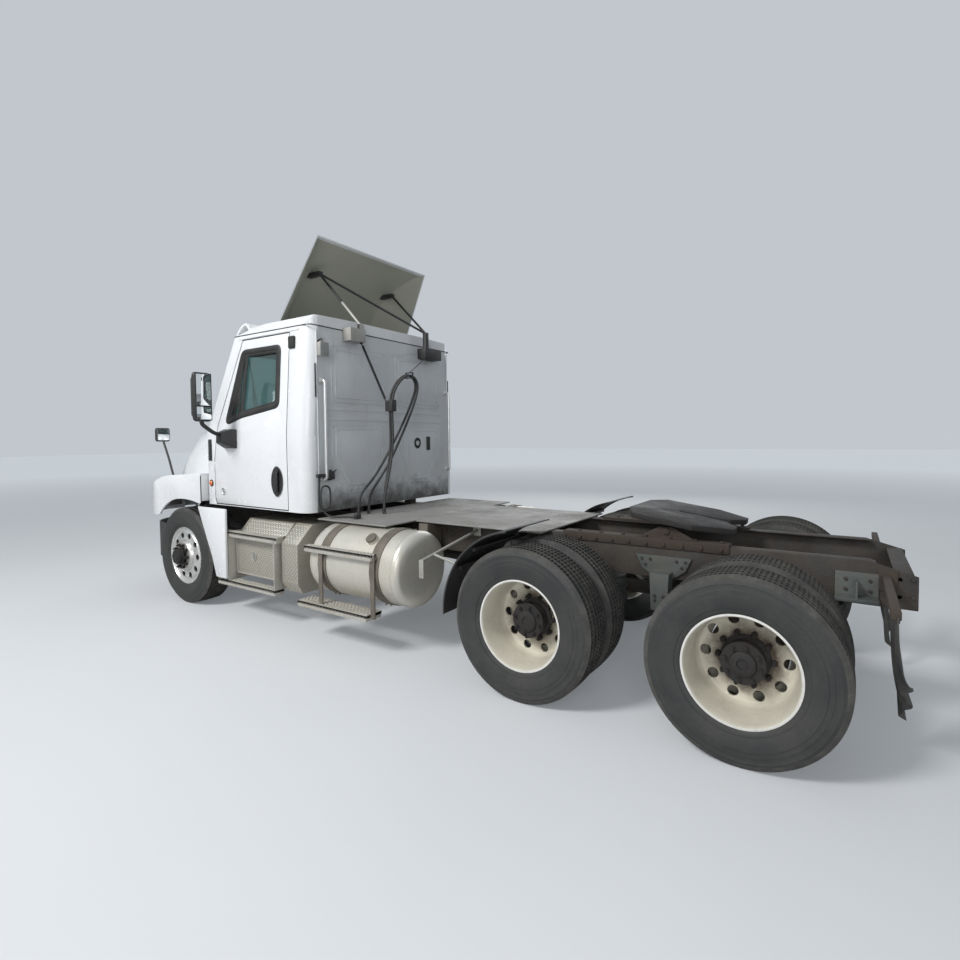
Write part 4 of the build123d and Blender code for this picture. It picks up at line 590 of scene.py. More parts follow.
HANGER_PAINT = finish(
    "hanger_paint_grey_green", (0.066, 0.082, 0.080), gloss=(0.42, 0.68), grain=(70.0, 0.05),
    dust=((0.135, 0.112, 0.088, 1), 0.6, 0.25, 6.0), rust=(0.14, 14.0),
)
GREASY_IRON = finish(
    "greasy_iron", (0.012, 0.011, 0.011), gloss=(0.5, 0.8), grain=(60.0, 0.09),
    dust=((0.040, 0.031, 0.025, 1), 0.55, 0.1, 7.0), rust=(0.06, 7.0),
)
RUSTY_STEEL = finish(
    "rusty_steel", (0.042, 0.032, 0.026), gloss=(0.7, 0.9), grain=(80.0, 0.08),
    dust=((0.095, 0.072, 0.053, 1), 0.6, 0.1, 8.0), rust=(0.36, 12.0),
)
BLACK_PLASTIC = finish(
    "black_plastic_moulding", (0.018, 0.018, 0.019), gloss=(0.38, 0.55), grain=(200.0, 0.02),
    dust=((0.12, 0.115, 0.105, 1), 0.28, 0.2, 5.0),
)
BLACK_RUBBER = finish(
    "black_rubber_seal", (0.014, 0.014, 0.014), gloss=(0.5, 0.7), grain=(160.0, 0.02),
    dust=((0.12, 0.115, 0.1, 1), 0.25, 0.2, 5.0),
)
FLAP_RUBBER = finish(
    "flap_rubber_scuffed", (0.040, 0.040, 0.040), gloss=(0.6, 0.85), grain=(90.0, 0.04),
    dust=((0.135, 0.128, 0.118, 1), 0.7, 0.3, 4.0),
)
DECK_PLATE = finish(
    "deck_plate_dull", (0.34, 0.335, 0.32), metallic=0.5, gloss=(0.42, 0.65), grain=(90.0, 0.03),
    dust=((0.13, 0.12, 0.10, 1), 0.85, 0.0, 3.4),
)
TREAD_PLATE = finish(
    "tread_plate_dusty", (0.60, 0.585, 0.54), metallic=0.6, gloss=(0.3, 0.48), grain=(90.0, 0.02),
    dust=((0.33, 0.295, 0.23, 1), 0.65, 0.3, 5.0),
)
TANK_METAL = finish(
    "tank_metal_polished", (0.70, 0.68, 0.62), metallic=0.6, gloss=(0.24, 0.36), grain=(40.0, 0.004),
    dust=((0.43, 0.385, 0.29, 1), 0.55, 0.35, 3.0), marks=0.45,
)
# Box plate: darker as painted shade between the raised lozenges, with real dust
BOX_PLATE_DUST_AND_SHADE = finish(
    "box_plate_dust_and_shade", (0.40, 0.385, 0.335), metallic=0.5, gloss=(0.34, 0.5), grain=(90.0, 0.02),
    dust=((0.30, 0.27, 0.205, 1), 0.7, 0.3, 5.0),
)
# Lozenges: paler than their plate as a painted highlight, with real dust
LOZENGE_HIGHLIGHT_AND_DUST = finish(
    "lozenges_painted_highlight_and_dust", (0.86, 0.85, 0.80), metallic=0.6, gloss=(0.26, 0.4), grain=(90.0, 0.01),
    dust=((0.52, 0.49, 0.42, 1), 0.4, 0.0, 5.0),
)
STRAP_STEEL = finish(
    "strap_steel_dark", (0.13, 0.115, 0.095), metallic=0.3, gloss=(0.5, 0.7), grain=(90.0, 0.03),
    dust=((0.27, 0.235, 0.185, 1), 0.7, 0.2, 7.0), rust=(0.15, 16.0),
)
BRIGHT_METAL = finish(
    "bright_metal_worn", (0.72, 0.72, 0.71), metallic=0.85, gloss=(0.28, 0.34), grain=(80.0, 0.0),
    dust=(DUST_GREY, 0.12, 0.05, 2.0),
)
MIRROR_GLASS = finish(
    "mirror_glass", (0.86, 0.89, 0.9), metallic=1.0, gloss=(0.02, 0.05), grain=(20.0, 0.001),
    dust=(DUST_GREY, 0.06, 0.0, 9.0),
)
CABIN_PLASTIC = finish(
    "cabin_plastic_dark", (0.055, 0.056, 0.06), gloss=(0.5, 0.65), grain=(240.0, 0.03),
    dust=(DUST_GREY, 0.12, 0.0, 5.0)
)
SEAT_CLOTH = finish(
    "seat_cloth_grey", (0.075, 0.078, 0.09), gloss=(0.85, 0.95), grain=(420.0, 0.06),
    dust=(DUST_GREY, 0.15, 0.0, 8.0)
)
HOSE_RUBBER = finish(
    "air_hose_rubber", (0.02, 0.021, 0.023), gloss=(0.4, 0.6), grain=(180.0, 0.02),
    dust=((0.13, 0.12, 0.105, 1), 0.4, 0.1, 12.0),
)
LIGHT_STEEL = finish(
    "bracket_pale_steel", (0.40, 0.395, 0.37), metallic=0.4, gloss=(0.4, 0.6), grain=(80.0, 0.02),
    dust=((0.24, 0.215, 0.175, 1), 0.55, 0.15, 8.0), rust=(0.30, 14.0),
)
POLISHED_RIM = wheel_finish(
    "front_rim_polished", (0.80, 0.80, 0.78), FRONT_AXLE_X, 0.95, (0.16, 0.3), (0.060, 0.045, 0.032), 0.175
)
CREAM_RIMS = {
    row: wheel_finish(
        f"cream_rim_{row}", (0.66, 0.625, 0.52), x, 0.0, (0.4, 0.6), (0.075, 0.055, 0.038), 0.225,
    )
    for row, x in DRIVE_AXLES_X.items()
}
# The slot that each finish stands for, where a piece names no other
USUAL_SLOT = {
    made.name: slot
    for slot, finishes in (
        ("air_rubber", (TYRE_SIDE,)), ("black_plastic", (BLACK_PLASTIC, BLACK_RUBBER)),
        ("bright_metal", (BRIGHT_METAL, LIGHT_STEEL, MIRROR_GLASS)), ("cabin_plastic", (CABIN_PLASTIC,)),
        ("cream_rim", CREAM_RIMS.values()), ("deck_aluminium", (DECK_PLATE,)),
        ("flap_rubber", (FLAP_RUBBER,)), ("frame_paint", (FRAME_PAINT,)),
        ("greasy_iron", (GREASY_IRON, RUSTY_STEEL, STRAP_STEEL)), ("hose_rubber", (HOSE_RUBBER,)),
        ("lamp_lens", (LENS, AMBER)), ("polished_rim", (POLISHED_RIM,)), ("seat_cloth", (SEAT_CLOTH,)),
        ("tank_aluminium", (TANK_METAL,)), ("tread_plate", (TREAD_PLATE, LOZENGE_HIGHLIGHT_AND_DUST)),
        ("white_paint", (WHITE_PAINT, BACK_PAINT_DUST_AND_SHADE)),
    )
    for made in finishes
}


# Camera, light and floor
def set_camera():
    lens = bpy.data.cameras.new("photo_camera")
    camera = new_object("photo_camera", lens)
    right = Vector(CAMERA_RIGHT).normalized()
    back = -Vector(CAMERA_AHEAD).normalized()
    up = back.cross(right).normalized()
    turn = Matrix((right, up, back)).transposed().to_4x4()
    camera.matrix_world = Matrix.Translation(CAMERA_PLACE) @ turn
    lens.sensor_width = SENSOR
    lens.lens = FOCAL_PIXELS / PHOTO_SIZE * SENSOR
    lens.shift_x = (PHOTO_SIZE / 2 - PRINCIPAL_X) / PHOTO_SIZE
    lens.shift_y = (PRINCIPAL_Y - PHOTO_SIZE / 2) / PHOTO_SIZE
    lens.clip_end = 200
    bpy.context.scene.camera = camera


def set_light():
    """Soft studio light: a large key high on the driver's side, weak fills, and a pale world."""
    for name, place, size, power in (
        ("key_light", (1.8, 8.5, 8.5), 2.6, 900),
        ("rear_fill", (-5.0, 8.0, 3.5), 4.0, 170),
        ("far_fill", (2.0, -9.0, 6.0), 7.0, 190),
    ):
        lamp = bpy.data.lights.new(name, "AREA")
        lamp.size = size
        lamp.energy = power
        new_object(name, lamp).matrix_world = aimed(place, Vector((0, 0, 1)) - Vector(place), "-Z")
    world = bpy.data.worlds.new("pale_world")
    bpy.context.scene.world = world
    world.use_nodes = True
    tree = world.node_tree
    sky = tree.nodes["Background"]
    sky.inputs["Color"].default_value = (0.86, 0.92, 0.98, 1)
    ways = add(tree, "ShaderNodeLightPath")
    seen = plus(tree, ways["Is Camera Ray"], ways["Is Transmission Ray"], clamp=True)
    seen = plus(tree, seen, ways["Is Glossy Ray"], clamp=True)
    tree.links.new(plus(tree, times(tree, seen, 0.30), 0.32), sky.inputs["Strength"])


def lay_floor():
    bpy.ops.mesh.primitive_plane_add(size=160, location=(0, 0, 0))
    floor = named("studio_floor")
    pale, tree, shader = plain_material("floor_pale")
    place = object_place(tree)
    tone = mixed(tree, noise(tree, place, 0.6), (0.56, 0.57, 0.58, 1), (0.60, 0.61, 0.62, 1))
    tree.links.new(tone, shader.inputs["Base Color"])
    shader.inputs["Roughness"].default_value = 0.9
    shader.inputs["Emission Color"].default_value = (0.80, 0.86, 0.92, 1)
    seen = add(tree, "ShaderNodeLightPath")["Is Camera Ray"]
    axes = add(tree, "ShaderNodeSeparateXYZ", {"Vector": place})
    reach = plus(tree, maths(tree, "POWER", axes["X"], 2.0), maths(tree, "POWER", axes["Y"], 2.0))
    far = spread(tree, maths(tree, "SQRT", reach, 0.0), 7.0, 30.0)
    glow = plus(tree, times(tree, far, 0.30), 0.16)
    tree.links.new(times(tree, seen, glow), shader.inputs["Emission Strength"])
    floor.data.materials.append(pale)


bpy.context.scene.view_settings.view_transform = "Standard"
set_camera()
set_light()
lay_floor()

# Tyres: one is turned and cut, the others are copies of it
TYRE_STEPS = 240
TYRE_PITCH = 2 * pi / TYRE_STEPS
CUT_SHARE = 0.32
RIBS = (-0.0900, -0.0455, 0.0, 0.0455, 0.0900)
RIB_HALF = 0.0185
GROOVE_DEPTH = 0.012
TREAD_EDGE = 0.4965


def tyre_profile():
    """Closed outline of a tyre: bead, sidewall with its rings, shoulder and ribbed tread."""
    side = [
        (0.088, 0.2885), (0.108, 0.290), (0.119, 0.302), (0.1275, 0.320), (0.1275, 0.326), (0.1315, 0.328),
        (0.1385, 0.352), (0.1425, 0.385), (0.1425, 0.398), (0.1402, 0.400), (0.1400, 0.424), (0.1382, 0.426),
        (0.1335, 0.452), (0.1345, 0.456), (0.1290, 0.472), (0.1200, 0.486), (0.1130, 0.4935),
    ]
    profile = [(-y, r) for y, r in side]
    for centre in RIBS:
        crown = TYRE_RADIUS - 0.45 * centre * centre
        profile += [
            (centre - RIB_HALF - 0.002, crown - GROOVE_DEPTH),
            (centre - RIB_HALF, crown),
            (centre + RIB_HALF, crown),
            (centre + RIB_HALF + 0.002, crown - GROOVE_DEPTH),
        ]
    profile = profile[: len(side)] + profile[len(side) + 1 : -1]
    return profile + list(reversed(side)) + [(0.080, 0.300), (-0.080, 0.300)]


def turn_of(place):
    """A point's angle about the tyre's axis."""
    return Vector((place.x, place.z)).angle_signed(Vector((1, 0)), 0.0)


def reach_of(place):
    """A point's distance from the tyre's axis."""
    return (place.x ** 2 + place.z ** 2) ** 0.5


def make_tyre():
    tyre = spun("tyre_pattern", tyre_profile(), TYRE_STEPS)
    for corner in tyre.data.vertices:
        if int(round(turn_of(corner.co) / TYRE_PITCH)) % TYRE_STEPS % 2:
            shift = TYRE_PITCH * (1 - CUT_SHARE)
            forward, behind = (Matrix.Rotation(turn, 3, "Y") @ corner.co for turn in (shift, -shift))
            corner.co = forward if (turn_of(forward) - turn_of(corner.co)) % (2 * pi) < pi else behind

    def cross_cut(centre, normal):
        if reach_of(centre) < TREAD_EDGE or abs(normal.y) > 0.5:
            return False
        return (turn_of(centre) / TYRE_PITCH % 2.0) > 2.0 - CUT_SHARE

    edit_faces(tyre, cross_cut)
    bpy.ops.mesh.inset(thickness=0.0004, depth=-0.007, use_individual=True)
    close_edit()
    tyre.data.materials.append(TYRE_SIDE)
    paint_faces(tyre, TYRE_TREAD, lambda middle, normal: reach_of(middle) > 0.478)
    smooth(tyre, 30)
    return tyre


TYRE = make_tyre()
for side, sign in SIDES:
    tyre = copy_of(TYRE, f"front_tyre_{side}_cut", (FRONT_AXLE_X, FRONT_RIM_Y, TYRE_RADIUS), sign < 0)
    ride(tyre, None, f"front_wheel_{side}", "tyre_rubber", replaces=(f"front_tyre_{side}",))
    smooth(tyre, 30)
    for row, x in DRIVE_AXLES_X.items():
        both = [
            copy_of(
                TYRE, f"twin_{side}_{row}_{k}", (x, y, TYRE_RADIUS), sign < 0,
                Matrix.Rotation(0.4 * k + 0.2, 4, "Y"),
            )
            for k, y in enumerate((DUAL_OUTER_Y, DUAL_INNER_Y))
        ]
        twins = joined(f"drive_tyres_{row}_{side}_cut", both)
        ride(twins, None, f"drive_wheel_{row}_{side}", "tyre_rubber", replaces=(f"drive_tyres_{row}_{side}",))
        smooth(twins, 30)
bpy.data.objects.remove(TYRE)


# Wheels: rims with hand holes, hubs, nuts and drums
def cut_hand_holes(rim, low_y, high_y):
    """Ten round hand holes through a disc about the Y axis."""
    cutters = []
    for k in range(10):
        turn = 2 * pi * k / 10
        place = (HAND_HOLE_CIRCLE * cos(turn), (low_y + high_y) / 2, HAND_HOLE_CIRCLE * sin(turn))
        bpy.ops.mesh.primitive_cylinder_add(
            vertices=32, radius=0.030, depth=high_y - low_y, location=place, rotation=(pi / 2, 0, 0)
        )
        cutters.append(named(f"hole_{k}"))
    cutter = joined("hole_cutter", cutters)
    shape_by(rim, "BOOLEAN", object=cutter, operation="DIFFERENCE", solver="EXACT")
    bpy.data.objects.remove(cutter)


def nut_ring(name, count, circle, y, radius, length, sides=6, turn=0.0):
    """Ring of nuts or studs, facing out along Y."""
    nuts = []
    for k in range(count):
        angle = turn + 2 * pi * k / count
        x = circle * cos(angle)
        z = circle * sin(angle)
        nuts.append(round_bar(f"{name}_{k}", (x, y, z), (x, y + length, z), radius, sides, radius * 0.2))
    return joined(name, nuts)


FRONT_RIM = spun(
    "front_rim_pattern",
    [
        (0.119, 0.2975), (0.119, 0.288), (0.110, 0.2815), (0.096, 0.276), (0.092, 0.262), (0.099, 0.250),
        (0.109, 0.241), (0.111, 0.232), (0.111, 0.190), (0.120, 0.168), (0.144, 0.155), (0.151, 0.148),
        (0.152, 0.084), (0.140, 0.084), (0.132, 0.145), (0.100, 0.165), (0.098, 0.240), (0.080, 0.262),
        (-0.105, 0.266), (-0.119, 0.280), (-0.119, 0.2975), (-0.112, 0.2975), (-0.108, 0.2865),
        (-0.040, 0.280), (0.090, 0.2865), (0.108, 0.2875), (0.112, 0.2975),
    ],
    80,
)
cut_hand_holes(FRONT_RIM, 0.06, 0.16)
round_edges(FRONT_RIM, 0.0016, 40)
FRONT_HUB = joined(
    "front_hub_pattern",
    [
        spun(
            "front_hub_turned",
            [
                (0.130, 0.0), (0.130, 0.082), (0.165, 0.084), (0.172, 0.088), (0.178, 0.088), (0.182, 0.080),
                (0.210, 0.076), (0.218, 0.070), (0.220, 0.040), (0.2245, 0.036), (0.2245, 0.0),
            ],
            48,
        ),
        nut_ring("front_wheel_nuts", 10, 0.1175, 0.150, 0.0165, 0.030, 6),
        nut_ring("front_wheel_studs", 10, 0.1175, 0.170, 0.009, 0.022, 12),
        nut_ring("front_hub_bolts", 6, 0.058, 0.216, 0.006, 0.008, 6),
    ],
)
FRONT_DRUM = spun(
    "front_drum_pattern",
    [(-0.040, 0.10), (-0.040, 0.200), (-0.030, 0.205), (0.070, 0.205), (0.090, 0.190), (0.096, 0.10)], 48,
)
OUTER_RIM = spun(
    "outer_rim_pattern",
    [
        (0.119, 0.2975), (0.119, 0.287), (0.108, 0.2805), (0.088, 0.277), (0.060, 0.272), (0.020, 0.266),
        (-0.060, 0.262), (-0.090, 0.258), (-0.106, 0.248), (-0.111, 0.236), (-0.111, 0.180), (-0.108, 0.160),
        (-0.108, 0.100), (-0.122, 0.100), (-0.124, 0.240), (-0.116, 0.270), (-0.100, 0.2865), (-0.020, 0.275),
        (0.090, 0.2865), (0.108, 0.2875), (0.112, 0.2975),
    ],
    80,
)
cut_hand_holes(OUTER_RIM, -0.16, -0.08)
round_edges(OUTER_RIM, 0.0016, 40)
INNER_RIM = spun(
    "inner_rim_pattern",
    [
        (-0.119, 0.2975), (-0.119, 0.287), (-0.108, 0.2805), (-0.060, 0.272), (0.060, 0.262), (0.098, 0.252),
        (0.105, 0.238), (0.105, 0.212), (0.117, 0.212), (0.117, 0.245), (0.100, 0.2865), (0.020, 0.275),
        (-0.090, 0.2865), (-0.108, 0.2875), (-0.112, 0.2975),
    ],
    80,
)
DRIVE_HUB = joined(
    "drive_hub_pattern",
    [
        spun(
            "drive_hub_turned",
            [
                (0.0, 0.0), (0.0, 0.128), (0.014, 0.128), (0.020, 0.104), (0.070, 0.100), (0.084, 0.112),
                (0.104, 0.115), (0.110, 0.111), (0.111, 0.070), (0.122, 0.066), (0.126, 0.058),
                (0.127, 0.030), (0.120, 0.026), (0.120, 0.0),
            ],
            48,
        ),
        nut_ring("drive_wheel_nuts", 10, 0.1428, 0.001, 0.0165, 0.034, 6),
        nut_ring("drive_wheel_studs", 10, 0.1428, 0.020, 0.0095, 0.034, 12),
        nut_ring("axle_flange_nuts", 8, 0.092, 0.110, 0.0115, 0.017, 6, 0.2),
        nut_ring("axle_flange_studs", 8, 0.092, 0.120, 0.0065, 0.017, 10, 0.2),
    ],
)
DRIVE_DRUM = spun(
    "drive_drum_pattern",
    [(-0.180, 0.075), (-0.180, 0.202), (-0.168, 0.205), (-0.040, 0.205), (-0.014, 0.190), (-0.002, 0.120)],
    48,
)


def mount(piece, angle, material, body, *replaces):
    """Smooth a wheel's part, and let it ride on the wheel."""
    smooth(piece, angle)
    ride(piece, material, body, replaces=replaces)


for side, sign in SIDES:
    body = f"front_wheel_{side}"
    here = (FRONT_AXLE_X, FRONT_RIM_Y, TYRE_RADIUS)
    rim = copy_of(FRONT_RIM, f"front_rim_{side}_polished", here, sign < 0)
    mount(rim, 30, POLISHED_RIM, body, f"front_rim_{side}")
    mount(copy_of(FRONT_HUB, f"front_hub_{side}", here, sign < 0), 35, GREASY_IRON, body)
    mount(copy_of(FRONT_DRUM, f"front_drum_{side}", here, sign < 0), 35, RUSTY_STEEL, body)
    for row, x in DRIVE_AXLES_X.items():
        body = f"drive_wheel_{row}_{side}"
        outer = copy_of(OUTER_RIM, f"outer_{row}_{side}", (x, DUAL_OUTER_Y, TYRE_RADIUS), sign < 0)
        inner = copy_of(INNER_RIM, f"inner_{row}_{side}", (x, DUAL_INNER_Y, TYRE_RADIUS), sign < 0)
        rims = joined(f"drive_rims_{row}_{side}_cream", [outer, inner])
        mount(rims, 30, CREAM_RIMS[row], body, f"drive_rims_{row}_{side}")
        here_too = (x, DUAL_DISC_Y, TYRE_RADIUS)
        mount(copy_of(DRIVE_HUB, f"drive_hub_{row}_{side}", here_too, sign < 0), 35, GREASY_IRON, body)
        mount(copy_of(DRIVE_DRUM, f"drive_drum_{row}_{side}", here_too, sign < 0), 35, RUSTY_STEEL, body)
for pattern in (FRONT_RIM, FRONT_HUB, FRONT_DRUM, OUTER_RIM, INNER_RIM, DRIVE_HUB, DRIVE_DRUM):
    bpy.data.objects.remove(pattern)

# Forms that come straight from the frame, with softened edges
DRESSED = (
    # node, finish, edge
    ("cab_mounts", FRAME_PAINT, 0.003),
    ("crossmembers", FRAME_PAINT, 0.003),
    ("frame_rails", FRAME_PAINT, 0.004),
    ("drive_axles", FRAME_PAINT, 0.010),
    ("driveshafts", FRAME_PAINT, 0.004),
    ("engine_block", GREASY_IRON, 0.012),
    ("front_axle", FRAME_PAINT, 0.008),
    ("front_springs", FRAME_PAINT, 0.003),
    ("knuckle_left", FRAME_PAINT, 0.006),
    ("knuckle_right", FRAME_PAINT, 0.006),
    ("tie_rod", FRAME_PAINT, 0.003),
    ("rear_suspension", HANGER_PAINT, 0.008),
    ("fifth_wheel_base", RUSTY_STEEL, 0.003),
    ("fifth_wheel", GREASY_IRON, 0.006),
    ("deck_plates", DECK_PLATE, 0.002),
    ("side_boxes", BOX_PLATE_DUST_AND_SHADE, 0.010),
    ("tank_straps", STRAP_STEEL, 0.002),
    ("wheel_skirts", WHITE_PAINT, 0.008),
    ("hood", WHITE_PAINT, 0.006),
    ("door_left", WHITE_PAINT, 0.005),
    ("door_right", WHITE_PAINT, 0.005),
    ("grille", BRIGHT_METAL, 0.003),
    ("headlamps", LENS, 0.004),
    ("front_bumper", BLACK_PLASTIC, 0.004),
    ("hose_support", BLACK_PLASTIC, 0.002),
    ("cab_interior", CABIN_PLASTIC, 0.012),
)
FORMS = {node: dressed(node, material, edge) for node, material, edge in DRESSED}
for node in ("windscreen", "door_glass_left", "door_glass_right"):
    NODES[node].data.materials.clear()
    NODES[node].data.materials.append(GLASS)

# The cab's shell, its back wall in darker, bluer paint that is painted shade as well as dust, and the
# deflector with its dull inside
SHELL = dressed("cab_shell", WHITE_PAINT, 0.004)
FORMS["cab_shell"] = SHELL
paint_faces(SHELL, BACK_PAINT_DUST_AND_SHADE, lambda spot, normal: spot.x < CAB_BACK_X + 0.004 and abs(spot.y) < 0.93)


# The deflector's sides draw in towards the front, behind its straight rear edges
SCOOP_FOOT_X = 1.270
SCOOP_FOOT_Z = 2.838
SCOOP_LEAN = 0.5879
SCOOP_DEPTH = 0.865
SCOOP_NARROWING = 0.80


def ahead_of_edge(place):
    """How far a point lies ahead of the deflector's sloping rear edge."""
    return max(0.0, place.x - (SCOOP_FOOT_X - (place.z - SCOOP_FOOT_Z) * SCOOP_LEAN))


def swept(place):
    narrow = SCOOP_NARROWING * ahead_of_edge(place) / SCOOP_DEPTH
    return Vector((place.x, place.y * (1 - narrow), place.z))


SCOOP = dressed("roof_deflector", WHITE_PAINT, 0.003, reshape=swept, cuts=5)


def in_scoop(spot, normal):
    inward = normal.x < -0.2 or normal.y * spot.y < -0.2
    return inward and ahead_of_edge(spot) > 0.0015


paint_faces(SCOOP, SCOOP_INSIDE, in_scoop)

STRUTS = dressed("deflector_struts", BLACK_PLASTIC, 0.003)
paint_faces(STRUTS, LIGHT_STEEL, lambda spot, normal: spot.y > 0.43 and spot.z < 2.775 and spot.x < 0.66)
ride(round_bar("strut_sleeve", (0.566, 0.4802, 2.7963), (0.800, 0.4887, 3.0410), 0.0135, 20), LIGHT_STEEL)

# Smooth tanks with domed ends, their filler caps
TANK_PROFILE = [
    (0.0, 0.0), (0.0, 0.120), (0.004, 0.200), (0.014, 0.262), (0.032, 0.291), (0.058, 0.3030),
    (0.066, 0.3030), (0.068, 0.3000), (0.076, 0.3000), (0.078, 0.3030), (0.972, 0.3030), (0.974, 0.3000),
    (0.982, 0.3000), (0.984, 0.3030), (0.992, 0.3030), (1.018, 0.291), (1.036, 0.262), (1.046, 0.200),
    (1.050, 0.120), (1.050, 0.0),
]
TANK_LOW_X = -0.550
for side, sign in SIDES:
    tank = spun(f"tank_{side}_shell", TANK_PROFILE, 96, axis="X")
    neck_way = Vector((0, cos(radians(50)), sin(radians(50))))
    foot = Vector((0.360, 0, 0)) + neck_way * 0.290
    neck = round_bar(f"neck_{side}", foot, foot + neck_way * 0.036, 0.045, 40, 0.003)
    tank = joined(f"fuel_tank_{side}", [tank, neck])
    tank.data.transform(Matrix.Translation((TANK_LOW_X, TANK_Y, TANK_Z)))
    if sign < 0:
        tank.data.transform(Matrix.Diagonal((1, -1, 1, 1)))
        tank.data.flip_normals()
    smooth(tank, 40)
    ride(tank, TANK_METAL, replaces=("fuel_tanks",))
    cap_foot = Vector((TANK_LOW_X, TANK_Y, TANK_Z)) + foot + neck_way * 0.036
    cap_head = cap_foot + neck_way * 0.016
    cap_foot.y *= sign
    cap_head.y *= sign
    cap = round_bar(f"filler_cap_{side}", cap_foot, cap_head, 0.047, 12, 0.004)
    ride(cap, STRAP_STEEL)


# The roof cap falls away over the windscreen, and the sun visor stands in front of it
ROOF_FALL_X = 1.45
ROOF_FALL_LENGTH = 0.36
ROOF_FALL = 0.70


def sloping(place):
    ahead = max(0.0, min(1.0, (place.x - ROOF_FALL_X) / ROOF_FALL_LENGTH))
    return Vector((place.x, place.y, CAB_SEAM_Z + (place.z - CAB_SEAM_Z) * (1 - ROOF_FALL * ahead ** 2)))


FORMS["cab_roof"] = dressed("cab_roof", WHITE_PAINT, 0.014, reshape=sloping, cuts=4)
VISOR_LINE = (
    (1.630, 2.768), (1.662, 2.822), (1.702, 2.858), (1.752, 2.850), (1.806, 2.812), (1.860, 2.757),
    (1.908, 2.694), (1.944, 2.632), (1.958, 2.592),
)
bpy.ops.mesh.primitive_grid_add(x_subdivisions=40, y_subdivisions=32, size=1)
visor = named("visor_sheet")
for corner in visor.data.vertices:
    across = corner.co.x * 2
    step = (corner.co.y + 0.5) * (len(VISOR_LINE) - 1)
    near = min(int(step), len(VISOR_LINE) - 2)
    x, z = Vector(VISOR_LINE[near]).lerp(Vector(VISOR_LINE[near + 1]), step - near)
    x += 0.030 * (1 - across ** 2) - 0.05 * max(0.0, abs(across) - 0.9)
    corner.co = Vector((x, 0.930 * across, z))
shape_by(visor, "SOLIDIFY", thickness=0.024, offset=0)
round_edges(visor, 0.006)
outward(visor)
smooth(visor, 45)
ride(visor, WHITE_PAINT, replaces=("sun_visor",))
stays = [
    round_bar("visor_stay", (x, y, z), (x + 0.085, y, z + 0.022), 0.012, 16)
    for y in (0.80, 0.40, 0.0, -0.40, -0.80) for x, z in ((1.700, 2.792), (1.775, 2.745))
]
ride(joined("visor_stays", stays), BLACK_PLASTIC)


# Helpers that lay trim on the cab's leaning sides
def looped(corners):
    """Corners of a closed line that starts and ends half way between the last and the first."""
    start = tuple((Vector(corners[0]) + Vector(corners[-1])) / 2)
    return [start, *corners, start]


def cab_half(z):
    """Half width of the cab's skin at a height."""
    if z < CAB_BELT_Z:
        return CAB_HALF_BELT - (CAB_BELT_Z - z) * LOWER_LEAN
    return CAB_HALF_BELT - (z - CAB_BELT_Z) * UPPER_LEAN


def side_trim(name, corners, radius, keep, round_by, body, material, closed=True, proud=0.0):
    """Rubber or strip along (x, z) corners on both of the cab's sides, pressed flat to the skin."""
    if closed:
        corners = looped(corners)
    strip = bent_bar(name, [(x, cab_half(z), z) for x, z in corners], radius, round_by)
    for corner in strip.data.vertices:
        skin = cab_half(corner.co.z)
        corner.co.y = skin + proud + (corner.co.y - skin) * keep
    smooth(strip, 50)
    for side, sign in SIDES:
        ride(copy_of(strip, f"{name}_{side}", flip_y=sign < 0), material, body.format(side), "black_plastic")
    bpy.data.objects.remove(strip)


def pair(piece, material, body="chassis", slot=None, replaces=(), name=None):
    """Put a left-hand piece on both sides, each riding on its side's body."""
    for side, sign in SIDES:
        twin = copy_of(piece, f"{name or piece.name}_{side}", flip_y=sign < 0)
        smooth(twin, 38)
        ride(twin, material, body.format(side), slot, tuple(node.format(side) for node in replaces))
    bpy.data.objects.remove(piece)


# The cab's inner faces are dark moulding
CABIN_CEILING = CAB_SEAM_Z + 0.010


def within_cab(spot, normal):
    return abs(spot.y) < cab_half(spot.z) - 0.022 and CAB_BACK_X + 0.030 < spot.x


def under_roof(spot, normal):
    return within_cab(spot, normal) and normal.z < -0.3 and spot.z > CABIN_CEILING


def inside_shell(spot, normal):
    faces_in = normal.x > 0.5 or abs(normal.z) > 0.5 or normal.y * spot.y < 0
    return within_cab(spot, normal) and faces_in and spot.x < 2.180 and spot.z < CAB_SEAM_Z - 0.004


paint_faces(FORMS["cab_shell"], CABIN_PLASTIC, inside_shell)
for node in ("door_left", "door_right"):
    paint_faces(FORMS[node], CABIN_PLASTIC, within_cab)
paint_faces(FORMS["cab_roof"], CABIN_PLASTIC, under_roof)

# Door windows: wide rubber, divider bar, seals round the doors, roof seam
WINDOW = [(1.070, 2.028), (1.640, 1.948), (1.885, 1.884), (1.643, 2.566), (1.070, 2.566)]
INNER_WINDOW = [(1.098, 2.048), (1.640, 1.970), (1.845, 1.908), (1.628, 2.540), (1.098, 2.540)]
side_trim("window_rubber_outer", WINDOW, 0.026, 0.45, 0.10, "door_{}", BLACK_RUBBER)
side_trim("window_rubber_inner", INNER_WINDOW, 0.024, 0.36, 0.085, "door_{}", BLACK_RUBBER, proud=-0.006)
side_trim(
    "window_divider", [(1.586, 2.555), (1.648, 1.960)], 0.022, 0.4, 0.02, "door_{}", BLACK_RUBBER, False,
    -0.008,
)
QUARTER_LIGHT = [(1.640, 2.520), (1.700, 2.330), (1.700, 1.960), (1.790, 1.935), (1.700, 2.230)]
side_trim("quarter_light_frame", QUARTER_LIGHT, 0.020, 0.3, 0.03, "door_{}", BLACK_RUBBER, proud=-0.012)
DOOR_EDGE = [
    (0.930, 1.063), (2.092, 1.063), (2.117, 1.120), (2.117, 1.505), (2.042, 1.865), (1.680, 2.685),
    (0.930, 2.685),
]
